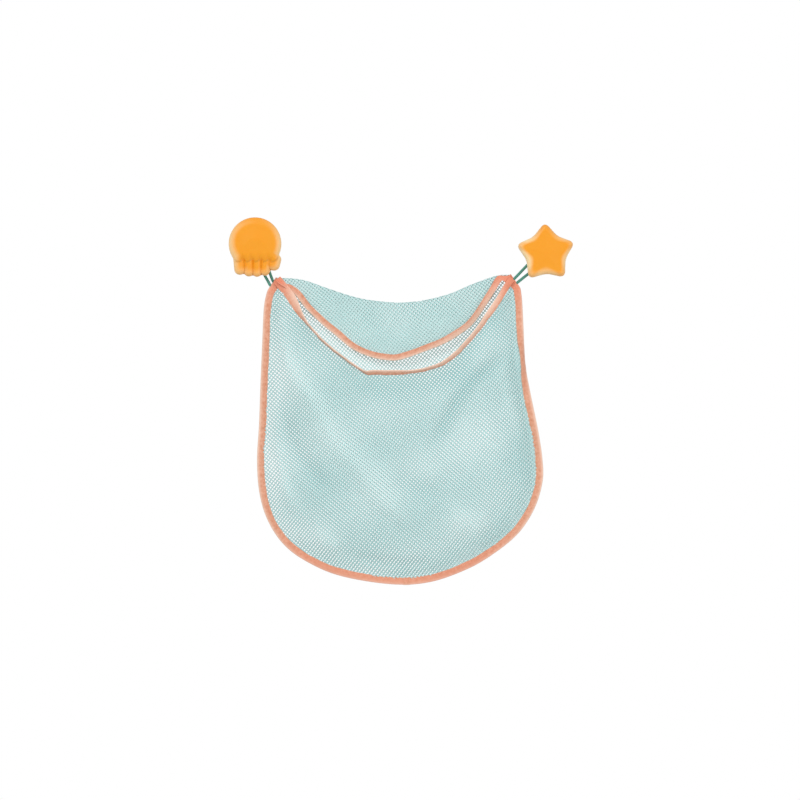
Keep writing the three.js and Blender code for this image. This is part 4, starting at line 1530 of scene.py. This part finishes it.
@dataclass(frozen=True)
class ElasticLoop:
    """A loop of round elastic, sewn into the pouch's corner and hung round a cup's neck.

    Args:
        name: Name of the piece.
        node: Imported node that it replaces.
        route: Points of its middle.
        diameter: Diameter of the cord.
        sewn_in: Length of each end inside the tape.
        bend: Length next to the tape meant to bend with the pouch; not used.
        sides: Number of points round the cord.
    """

    name: str
    node: str
    route: tuple[Triple, ...]
    diameter: float = 3.5
    sewn_in: float = 3.0
    bend: float = 11.0
    sides: int = 14

    def middle(self, line: Array, reach: float) -> Array:
        """Middle between the loop's two strands.

        Args:
            line: Points of the cord's middle.
            reach: Length along each strand from its end.

        Returns:
            X, Y and Z of the place.
        """
        run = run_of(line)
        places = np.interp([reach, run[-1] - reach], run, np.arange(len(line)))
        return between(line, places).mean(axis=0)

    def build(self, elastic: Material) -> None:
        """Makes the cord: circles round its middle line, with the value "braid" along and round it.

        Args:
            elastic: Finish of the cord.
        """
        line = catmull_rom(np.array(self.route), 170)
        start = line[0] - unit(line[1] - line[0]) * self.sewn_in
        end = line[-1] + unit(line[-1] - line[-2]) * self.sewn_in
        line = evenly_spaced(np.vstack([start, line, end]), 176)
        run = run_of(line)
        inside = np.minimum(run, run[-1] - run) / self.sewn_in
        tangent = unit(np.gradient(line, axis=0))
        outward = unit(np.cross(tangent, np.array([0.0, 1.0, 0.0])))
        radius = self.diameter / 2 * (0.6 + 0.4 * smooth_step(inside, 0, 1))
        ring = rings_of(outward, np.cross(outward, tangent), self.sides) * radius[:, None, None]
        points = (line[:, None] + ring).reshape(-1, 3)
        faces = grid_quads(len(line), self.sides, True)[:, ::-1].tolist()
        first = list(range(self.sides))
        faces += [first, [len(points) - self.sides + k for k in reversed(first)]]
        along = np.repeat(run, self.sides)
        around = np.tile(np.array(first) * math.pi * self.diameter / self.sides, len(line))
        shape = Shape(points, faces, {"braid": np.stack([along, around, np.zeros(len(points))], axis=1)})
        cord = Piece(self.name, shape, Body.WALL_HANGERS, Slot.TEAL_ELASTIC, (self.node,), 60).make(elastic)
        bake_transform(cord)


# Hangers

# Half section of a cup's rim, throat and head as [radius, height off the wall]
CUP_RIM = ((23.6, 0.0), (24.0, 0.25), (24.0, 0.7), (23.7, 0.95))
CUP_THROAT = ((9.2, 5.75), (7.6, 6.2), (6.2, 6.8), (5.2, 7.5), (4.65, 8.3), (4.5, 9.2), (4.5, 12.0))
CUP_HEAD = (
    (4.5, 16.9), (4.7, 17.3), (7.1, 17.3), (7.5, 17.6), (7.5, 19.0), (7.2, 19.5), (4.7, 20.9), (2.4, 21.3),
    (0.0, 21.4),
)


def ring_at(radius: Array | float, level: Array | float, count: int) -> Array:
    """A ring of points about a stud."""
    flat = spokes(count) * np.broadcast_to(radius, count)[:, None]
    return np.column_stack([flat, np.broadcast_to(level, count)])


def stood(local: Array, place: Pair, back: float) -> Array:
    """Moves points from about a stud to their place in front of the wall."""
    return np.column_stack([local[:, 0] + place[0], -back - local[:, 2], local[:, 1] + place[1]])


def closed_rings(rows: int, count: int) -> list[list[int]]:
    """Faces of a stack of rings that a pole closes at each end.

    Args:
        rows: Number of rings.
        count: Number of points in a ring. The two poles have the numbers after the last ring's.

    Returns:
        Point numbers of each face.
    """
    k = np.arange(count)
    after = (k + 1) % count
    first, last = np.full(count, rows * count), (rows - 1) * count
    fans = np.array([[first, after, k], [first + 1, last + k, last + after]])
    return grid_quads(rows, count, True).tolist() + fans.transpose(0, 2, 1).reshape(-1, 3).tolist()


@dataclass(frozen=True)
class SuctionCup:
    """A suction cup with a neck and a mushroom head.

    Args:
        name: Name of the piece.
        node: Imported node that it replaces.
        place: X and Z of its centre.
        steps: Number of points round it.
    """

    name: str
    node: str
    place: Pair
    steps: int = 96

    def profile(self) -> Array:
        """Half section of the cup, from the hollow's middle round to the head's top.

        Returns:
            Radius and height off the wall of each point.
        """
        turn = np.linspace(0, 1, 7)
        hollow = np.stack([20.5 * turn, 2.6 * (1 - turn**1.6)], axis=1)
        slope = np.stack([23.7 - 12.7 * turn[1:], 0.95 + 4.25 * turn[1:] ** 1.15], axis=1)
        return np.vstack([hollow, CUP_RIM, slope, CUP_THROAT, CUP_HEAD])

    def build(self, vinyl: Material) -> None:
        """Turns the profile about the cup's axis.

        Args:
            vinyl: Finish of the cup.
        """
        profile = self.profile()
        rings = [ring_at(radius, level, self.steps) for radius, level in profile[1:-1]]
        poles = [[0, 0, profile[0, 1]], [0, 0, profile[-1, 1]]]
        points = stood(np.vstack([*rings, poles]), self.place, 0.0)
        shape = Shape(points, closed_rings(len(rings), self.steps))
        Piece(self.name, shape, Body.WALL_HANGERS, Slot.CLEAR_VINYL, (self.node,), 50).place(vinyl)


@dataclass(frozen=True)
class Cover(ABC):
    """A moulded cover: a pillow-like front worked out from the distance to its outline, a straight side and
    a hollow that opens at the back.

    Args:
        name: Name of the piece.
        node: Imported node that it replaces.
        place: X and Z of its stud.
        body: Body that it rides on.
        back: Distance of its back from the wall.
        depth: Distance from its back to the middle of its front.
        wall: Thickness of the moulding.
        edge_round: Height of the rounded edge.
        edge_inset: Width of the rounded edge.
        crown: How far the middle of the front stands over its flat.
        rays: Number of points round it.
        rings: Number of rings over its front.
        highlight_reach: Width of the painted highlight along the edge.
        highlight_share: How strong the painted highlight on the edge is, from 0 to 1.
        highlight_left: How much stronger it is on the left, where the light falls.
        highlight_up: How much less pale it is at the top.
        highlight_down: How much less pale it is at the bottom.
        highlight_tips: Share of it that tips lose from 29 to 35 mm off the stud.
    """

    name: str
    node: str
    place: Pair
    body: Body
    back: float = 15.0
    depth: float = 16.0
    wall: float = 2.0
    edge_round: float = 7.0
    edge_inset: float = 7.0
    crown: float = 0.8
    rays: int = 540
    rings: int = 73
    highlight_reach: float = 7.0
    highlight_share: float = 0.68
    highlight_left: float = 0.1
    highlight_up: float = 0.64
    highlight_down: float = 0.3
    highlight_tips: float = 0.0

    @abstractmethod
    def heights(self, places: Array) -> Array:
        """Height of the front over its back plane, for places about the stud."""

    @abstractmethod
    def silhouette(self) -> Array:
        """Distance from the stud to the outline, at equal angles."""

    @abstractmethod
    def hollow(self) -> Array:
        """Distance from the stud to the hollow's wall, at equal angles."""

    def groove_shade(self, places: Array) -> Array:
        """How much painted shade each place about the stud gets from a groove, from 0 to 1: none has one
        here.
        """
        return np.zeros(len(places))

    def rounded(self, distance: Array, inset: float, wall: float, rise: float) -> Array:
        """Height of a rounded edge: a straight wall, then a quarter ellipse over the inset."""
        share = np.clip(distance / inset, 0, 1)
        return wall + rise * np.sqrt(np.maximum(1 - (1 - share) ** 2, 0))

    def edge_highlight(self, reach: Array) -> Array:
        """How strong the painted highlight on the very edge is: more to the left by the ray's slope, where
        the light falls, less upwards and downwards by the slope's square, and less on far tips.

        Args:
            reach: Distance from the stud to the outline, at equal angles.

        Returns:
            One number per ray.
        """
        right, up = spokes(self.rays).T
        pale = self.highlight_share - self.highlight_up * np.maximum(up, 0) ** 2
        pale += self.highlight_left * np.maximum(-right, 0) - self.highlight_down * np.maximum(-up, 0) ** 2
        return pale * (1 - self.highlight_tips * smooth_step(reach, 29, 35))

    def build(self, vinyl: Material) -> None:
        """Makes the cover from rings about the stud: over the front, down the side, in across the back and
        up the hollow. Its value "edge", the painted highlight, fades from the outline over the pale edge,
        which is up to 3.5 mm wider at the lower left, where the light falls, by a smooth step.

        Args:
            vinyl: Finish of the cover.
        """
        reach, inner = self.silhouette(), self.hollow()
        levels = 1 - np.linspace(1, 0, self.rings + 1)[1:, None] ** 1.5
        places = (spokes(self.rays) * (reach * levels)[..., None]).reshape(-1, 2)
        height = self.heights(places)
        ceiling = self.depth - self.wall - self.crown
        rest = (
            (reach, height[-self.rays :] * 0.55),
            (reach - 0.15, 0.3),
            (reach - 0.45, 0.0),
            (inner, 0.0),
            (inner, ceiling - 6.0),
            (inner * 0.97, ceiling - 3.0),
            (inner * 0.9, ceiling - 0.8),
            (inner * 0.8, ceiling),
            (inner * 0.3, ceiling),
        )
        rings = [ring_at(radius, level, self.rays) for radius, level in rest]
        poles = [[0, 0, self.heights(np.zeros((1, 2)))[0]], [0, 0, ceiling]]
        front = np.column_stack([places, height])
        points = stood(np.vstack([front, *rings, poles]), self.place, self.back)
        faces = [face[::-1] for face in closed_rings(self.rings + len(rest), self.rays)]
        # painted highlight: the edge is drawn paler, most on the lower left where the light falls
        pale = self.edge_highlight(reach)
        low_left = np.maximum(spokes(self.rays) @ [-0.6, -0.8], 0)
        fade = smooth_step(reach * (1 - levels) - 0.4, 0, self.highlight_reach + 3.5 * low_left)
        edge, groove = np.zeros((2, len(points)))
        edge[: len(places)] = ((1 - fade) * pale).ravel()
        edge[len(places) : len(places) + 3 * self.rays] = np.tile(pale, 3)
        # painted shade in each groove of the moulding
        groove[: len(places)] = self.groove_shade(places)
        shape = Shape(points, faces, {"edge": edge, "groove": groove})
        Piece(self.name, shape, self.body, Slot.ORANGE_PLASTIC, (self.node,), 48).place(vinyl)


@dataclass(frozen=True)
class StarCover(Cover):
    """A five-pointed star, round at its tips and notches.

    Args:
        tip_radius: Distance from the stud to a tip's corner.
        notch_radius: Distance from the stud to a notch's corner.
        tip_round: Length over which a tip is eased, on both its sides.
        notch_round: Length over which a notch is eased, on both its sides.
        turn: Angle by which the star is turned to the left, in radians.
    """

    tip_radius: float = 38.4
    notch_radius: float = 25.4
    tip_round: float = 8.0
    notch_round: float = 6.0
    turn: float = 0.035
    edge_inset: float = 6.0
    highlight_reach: float = 7.5
    highlight_share: float = 0.78
    highlight_left: float = 0.5
    highlight_up: float = 0.6
    highlight_down: float = 0.15
    highlight_tips: float = 0.5

    def outline(self) -> Array:
        """The star's outline: straight sides between ten corners, each corner eased by a parabola.

        Returns:
            Points about the stud, the first repeated at the end.
        """
        k = np.arange(10)
        angle = math.pi / 2 + self.turn + k * math.pi / 5
        radius = np.where(k % 2 == 0, self.tip_radius, self.notch_radius)
        corners = np.stack([radius * np.cos(angle), radius * np.sin(angle)], axis=1)
        ease = np.where(k % 2 == 0, self.tip_round, self.notch_round)[:, None]
        start = corners + unit(np.roll(corners, 1, axis=0) - corners) * ease
        end = corners + unit(np.roll(corners, -1, axis=0) - corners) * ease
        t = np.linspace(0, 1, 13)[None, :, None]
        bends = (1 - t) ** 2 * start[:, None] + 2 * t * (1 - t) * corners[:, None] + t**2 * end[:, None]
        closed = bends.reshape(-1, 2)
        return evenly_spaced(np.vstack([closed, closed[:1]]), 900)

    def reach_to(self, line: Array) -> Array:
        """Distance from the stud to a line at equal angles, read off the line's own angles.

        Args:
            line: Points of a line round the stud.

        Returns:
            One length per ray.
        """
        angle = np.arctan2(line[:, 1], line[:, 0])
        order = np.argsort(angle)
        wanted = np.mod(np.arange(self.rays) * 2 * math.pi / self.rays + math.pi, 2 * math.pi) - math.pi
        return np.interp(wanted, angle[order], np.linalg.norm(line, axis=1)[order], period=2 * math.pi)

    def silhouette(self) -> Array:
        """Distance from the stud to the star's outline, at equal angles."""
        return self.reach_to(self.outline())

    def hollow(self) -> Array:
        """Distance from the stud to the hollow's wall, at equal angles: the outline moved in by the wall."""
        line = self.outline()
        return self.reach_to(line + left_normals(line) * self.wall)

    def heights(self, places: Array) -> Array:
        """Height of a flat, slightly crowned face with a rounded edge.

        Args:
            places: Places about the stud.

        Returns:
            One height per place.
        """
        outline = self.outline()
        distance = np.where(is_inside(places, outline[:-1]), nearest(places, outline)[0], 0)
        wall = self.depth - self.crown - self.edge_round
        height = self.rounded(distance, self.edge_inset, wall, self.edge_round)
        return height + self.crown * smooth_step(distance, self.edge_inset, 24)


# Fingers of the jellyfish: place across, width, drop and lean, as shares of the dome's radius and of the
# longest finger, and in radians, as in the part's source
FINGER_SHARES = (
    (-0.6, 0.42, 0.934, 0.1),
    (-0.24, 0.36, 0.99, 0.02),
    (0.08, 0.34, 1.0, -0.02),
    (0.4, 0.36, 0.962, -0.08),
    (0.75, 0.44, 0.794, -0.26),
)


@dataclass(frozen=True)
class JellyfishCover(Cover):
    """A dome with a scalloped hem over five short tentacles.

    Args:
        dome_radius: Radius of the dome.
        dome_rise: Height of the dome's centre over the stud.
        hem_drop: Distance of the hem's points below the stud.
        scallop: Depth of a scallop.
        scallops: Number of scallops.
        finger_depth: Depth of the tentacles.
        finger_round: Height of their rounding.
        finger_top: Distance of their tops below the stud.
        finger_tip: Distance of the longest one's tip below the stud.
        web: Reach of the web that joins neighbours.
        ray_end: Length of the rays that look for the outline.
    """

    edge_inset: float = 10.0
    highlight_reach: float = 8.5
    dome_radius: float = 32.6
    dome_rise: float = 4.4
    hem_drop: float = 15.0
    scallop: float = 2.2
    scallops: int = 5
    finger_depth: float = 13.2
    finger_round: float = 4.5
    finger_top: float = 8.0
    finger_tip: float = 36.6
    web: float = 1.3
    ray_end: float = 48.0

    def dome(self, places: Array) -> Array:
        """Distance to the dome's edge: the lesser of the distances to the circle and to the hem, whose
        scallops are parabolas.

        Args:
            places: Places about the stud.

        Returns:
            One distance per place, positive inside.
        """
        circle = self.dome_radius - np.hypot(places[:, 0], places[:, 1] - self.dome_rise)
        half = math.sqrt(self.dome_radius**2 - (self.hem_drop + self.dome_rise) ** 2)
        share = np.mod((places[:, 0] + half) / (2 * half / self.scallops), 1)
        hem = places[:, 1] + self.hem_drop + 4 * self.scallop * share * (1 - share)
        return np.minimum(circle, hem)

    def fingers(self, places: Array) -> Array:
        """Distance to the nearest finger's edge, positive inside: each finger is a line from its top to its
        tip, swollen by its radius, and neighbours are joined by a narrow web.

        Args:
            places: Places about the stud.

        Returns:
            The distance, the distance as a share of the finger's radius, and how near the place is to the
            line between two fingers, from 0 to 1, in three columns.
        """
        across, width, drop, lean = np.array(FINGER_SHARES).T
        radius = width * self.dome_radius / 2
        half = (drop * self.finger_tip - self.finger_top) / 2 - radius
        middle = np.stack([across * self.dome_radius, -self.finger_top - radius - half], axis=1)
        along = np.stack([-np.sin(lean), np.cos(lean)], axis=1)
        offset = places[:, None] - middle
        run = np.clip((offset * along).sum(axis=2), -half, half)
        inside = radius - np.linalg.norm(offset - run[..., None] * along, axis=2)
        weight = np.exp(np.maximum(inside, -60) / self.web)
        merged = self.web * np.log(weight.sum(axis=1))
        blend = merged - inside.max(axis=1)
        share = (inside / radius).max(axis=1) + 0.4 * blend / radius.mean()
        return np.stack([merged, share, blend / (self.web * math.log(2))], axis=1)

    def whole(self, places: Array) -> Array:
        """Distance to the outline of the dome and fingers together, positive inside."""
        return np.maximum(self.dome(places), self.fingers(places)[:, 0])

    def room(self, places: Array) -> Array:
        """Distance to the hollow's wall, which follows the dome alone, positive inside."""
        return self.dome(places) - self.wall

    def groove_shade(self, places: Array) -> Array:
        """Painted shade in the groove between each two fingers and in the one under the hem.

        Args:
            places: Places about the stud.

        Returns:
            One number per place, from 0 to 1.
        """
        dome = self.dome(places)
        finger = self.fingers(places)
        beside = np.clip(finger[:, 2], 0, 1) ** 3 * smooth_step(-dome, -1.0, 1.5)
        under = bell(dome + 0.8, 1.3) * smooth_step(finger[:, 0], 1, 4)
        return np.clip(0.9 * beside + 0.55 * under, 0, 1)

    def ray_reach(self, distance: Surface) -> Array:
        """How far a shape reaches from the stud at equal angles: the last place along each ray with a
        positive distance, in steps of 0.1 mm.

        Args:
            distance: Gives the distance to the shape's outline, positive inside.

        Returns:
            One length per ray.
        """
        steps = np.arange(0, self.ray_end, 0.1)
        places = spokes(self.rays)[:, None] * steps[None, :, None]
        inside = distance(places.reshape(-1, 2)).reshape(self.rays, len(steps)) > 0
        return steps[len(steps) - 1 - inside[:, ::-1].argmax(axis=1)]

    def silhouette(self) -> Array:
        """Distance from the stud to the outline of the whole, eased over five rays.

        Returns:
            One length per ray.
        """
        reach = self.ray_reach(self.whole)
        around = np.concatenate([reach[-3:], reach, reach[:3]])
        return np.convolve(around, [0.1, 0.2, 0.4, 0.2, 0.1], "same")[3:-3]

    def hollow(self) -> Array:
        """Distance from the stud to the hollow's wall, at equal angles."""
        return self.ray_reach(self.room)

    def heights(self, places: Array) -> Array:
        """Height of the dome and of the fingers, the higher of both with an eased seam. The dome's surface
        dips by 5 mm past its edge, where the fingers come out from under the hem.

        Args:
            places: Places about the stud.

        Returns:
            One height per place.
        """
        dome = self.dome(places)
        finger = self.fingers(places)
        wall = self.depth - self.crown - self.edge_round
        over = self.rounded(dome, self.edge_inset, wall, self.edge_round) - 5 * np.clip(-dome / 2, 0, 1)
        over += self.crown * smooth_step(dome, self.edge_inset, 28)
        low = self.finger_depth - self.finger_round
        under = self.rounded(finger[:, 1], 1.0, low - 1.5, self.finger_round + 1.5)
        return self.web * np.logaddexp(over / self.web, under / self.web)


@dataclass(frozen=True)
class BackPlate:
    """Flat plate that closes a cover's back round the cup's neck.

    Args:
        name: Name of the piece.
        node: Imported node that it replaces.
        cover: Cover that it closes.
        thickness: Thickness of the plate.
        gap: Clearance between its rim and the hollow's wall.
        hole: Radius of the hole for the neck.
        bevel: Size of its rounded edges, and depth of the groove.
    """

    name: str
    node: str
    cover: Cover
    thickness: float = 2.0
    gap: float = 0.3
    hole: float = 4.9
    bevel: float = 0.35

    def build(self, vinyl: Material) -> None:
        """Makes the plate from rings about the stud: the back face with a shallow groove near its rim, the
        rim, the front face and the hole.

        Args:
            vinyl: Finish of the plate.
        """
        rays, top, bevel = self.cover.rays, self.thickness, self.bevel
        rim = self.cover.hollow() - self.gap
        rings = (
            (self.hole, 0.3),
            (self.hole + 0.3, 0.0),
            (rim - 5.0, 0.0),
            (rim - 4.4, bevel),
            (rim - 3.2, bevel),
            (rim - 2.6, 0.0),
            (rim - bevel, 0.0),
            (rim, bevel),
            (rim, top - bevel),
            (rim - bevel, top),
            (self.hole + 0.3, top),
            (self.hole, top - 0.3),
        )
        local = np.vstack([ring_at(radius, level, rays) for radius, level in rings])
        faces = (grid_quads(len(rings) + 1, rays, True) % len(local)).tolist()
        values = {"edge": np.full(len(local), 0.1), "groove": np.zeros(len(local))}
        shape = Shape(stood(local, self.cover.place, self.cover.back), faces, values)
        Piece(self.name, shape, self.cover.body, Slot.ORANGE_PLASTIC, (self.node,), 30).place(vinyl)


# Studio


@dataclass(frozen=True)
class Lamp:
    """A square soft lamp.

    Args:
        name: Name of the lamp.
        place: Its place in metres.
        side: Its side in metres.
        power: Its power in watts.
        aim: Place that it faces, in metres.
    """

    name: str
    place: Triple
    side: float
    power: float
    aim: Triple = (0.0, 0.0, -0.2)

    def build(self) -> None:
        """Makes the lamp, turned to face its aim."""
        data = bpy.data.lights.new(self.name, "AREA")
        data.size = self.side
        data.energy = self.power
        lamp = bpy.data.objects.new(self.name, data)
        away = unit(np.subtract(self.place, self.aim))
        lamp.location = self.place
        lamp.rotation_euler = (math.acos(away[2]), 0, math.atan2(away[0], -away[1]))
        bpy.context.scene.collection.objects.link(lamp)


@dataclass(frozen=True)
class Studio:
    """A white studio: camera square to the wall, soft light from the upper left, a pale floor.

    Args:
        centre: X and Z at the middle of the picture.
        picture_width: Width of the object plane in the picture.
        distance: Camera to the wall; far enough for the nearly parallel view of the photo.
        stand_off: Distance of the object plane from the wall.
        sensor: Width of the camera's sensor.
        lamps: The lamps.
        world_light: Strength of the light from all round.
        floor_height: Height of the floor, in metres.
        floor_reach: Half the side of the floor, in metres.
    """

    centre: Pair = (-0.56, -185.5)
    picture_width: float = 992.0
    distance: float = 5600.0
    stand_off: float = 12.5
    sensor: float = 36.0
    lamps: tuple[Lamp, ...] = (
        Lamp("key_lamp", (-1.3, -2.2, 1.5), 1.3, 38.0),
        Lamp("fill_lamp", (1.8, -2.0, 0.1), 2.0, 24.0),
    )
    world_light: float = 0.5
    floor_height: float = -0.76
    floor_reach: float = 0.7

    def build_camera(self) -> None:
        """Makes the camera: its focal length is the sensor's width times distance over picture width."""
        data = bpy.data.cameras.new("studio_camera")
        data.sensor_width = self.sensor
        data.lens = self.sensor * (self.distance - self.stand_off) / self.picture_width
        data.clip_end = 100.0
        camera = bpy.data.objects.new("studio_camera", data)
        camera.location = (self.centre[0] * METRES, -self.distance * METRES, self.centre[1] * METRES)
        camera.rotation_euler = (math.pi / 2, 0, 0)
        bpy.context.scene.collection.objects.link(camera)
        bpy.context.scene.camera = camera

    def build(self) -> None:
        """Makes the lamps, the floor and the white world."""
        bpy.context.scene.view_settings.view_transform = "Standard"
        for lamp in self.lamps:
            lamp.build()
        self.build_floor()
        self.build_world()

    def build_floor(self) -> None:
        """Makes the pale floor below the picture."""
        mesh = bpy.data.meshes.new("studio_floor")
        corners = np.array([(-1, -1), (1, -1), (1, 1), (-1, 1)]) * self.floor_reach
        mesh.from_pydata(np.insert(corners, 2, self.floor_height, axis=1).tolist(), [], [(0, 1, 2, 3)])
        mesh.materials.append(MattFloor().build())
        floor = bpy.data.objects.new("studio_floor", mesh)
        bpy.context.scene.collection.objects.link(floor)

    def build_world(self) -> None:
        """Makes the world: white to the camera, to gloss and to clear vinyl, dimmer as a light."""
        world = bpy.data.worlds.new("white_studio")
        bpy.context.scene.world = world
        world.use_nodes = True
        tree = world.node_tree
        tree.nodes.clear()
        path = add_node(tree, "LightPath")
        seen = path.outputs["Is Camera Ray"]
        for other in ("Is Glossy Ray", "Is Transmission Ray"):
            links = {0: seen, 1: path.outputs[other]}
            seen = add_node(tree, "Math", {"operation": "MAXIMUM"}, {}, links).outputs[0]
        values = {"Color": (1, 1, 1, 1), "Strength": self.world_light}
        light = add_node(tree, "Background", {}, values).outputs[0]
        white = add_node(tree, "Background", {}, {**values, "Strength": 1.0}).outputs[0]
        mix = add_node(tree, "MixShader", links={0: seen, 1: light, 2: white})
        add_node(tree, "OutputWorld", links={"Surface": mix.outputs[0]})


def main() -> None:
    """Builds the camera, the loops, the hangers, the pouch and the studio, in that order."""
    logging.basicConfig(level=logging.INFO, format="%(message)s")
    studio = Studio()
    studio.build_camera()
    elastic = BraidedElastic().build()
    ElasticLoop("left_elastic", "left_loop", LEFT_LOOP_ROUTE).build(elastic)
    ElasticLoop("right_elastic", "right_loop", RIGHT_LOOP_ROUTE).build(elastic)

    orange = MouldedVinyl().build()
    clear = ClearVinyl().build()
    jellyfish = JellyfishCover("jellyfish_dome", "jellyfish_cover", (-180.0, 3.6), Body.JELLYFISH_HEAD)
    star = StarCover("star_dome", "star_cover", (180.0, -3.6), Body.STAR_HEAD)
    for kind, cover in (("jellyfish", jellyfish), ("star", star)):
        cover.build(orange)
        BackPlate(f"{kind}_plate", f"{kind}_back_plate", cover).build(orange)
        SuctionCup(f"{kind}_cup", f"{kind}_suction_cup", cover.place).build(clear)

    Pouch().build(KnittedNet().build(), WovenTape().build(), SewingThread().build())
    studio.build()


if __name__ == "__main__":
    main()
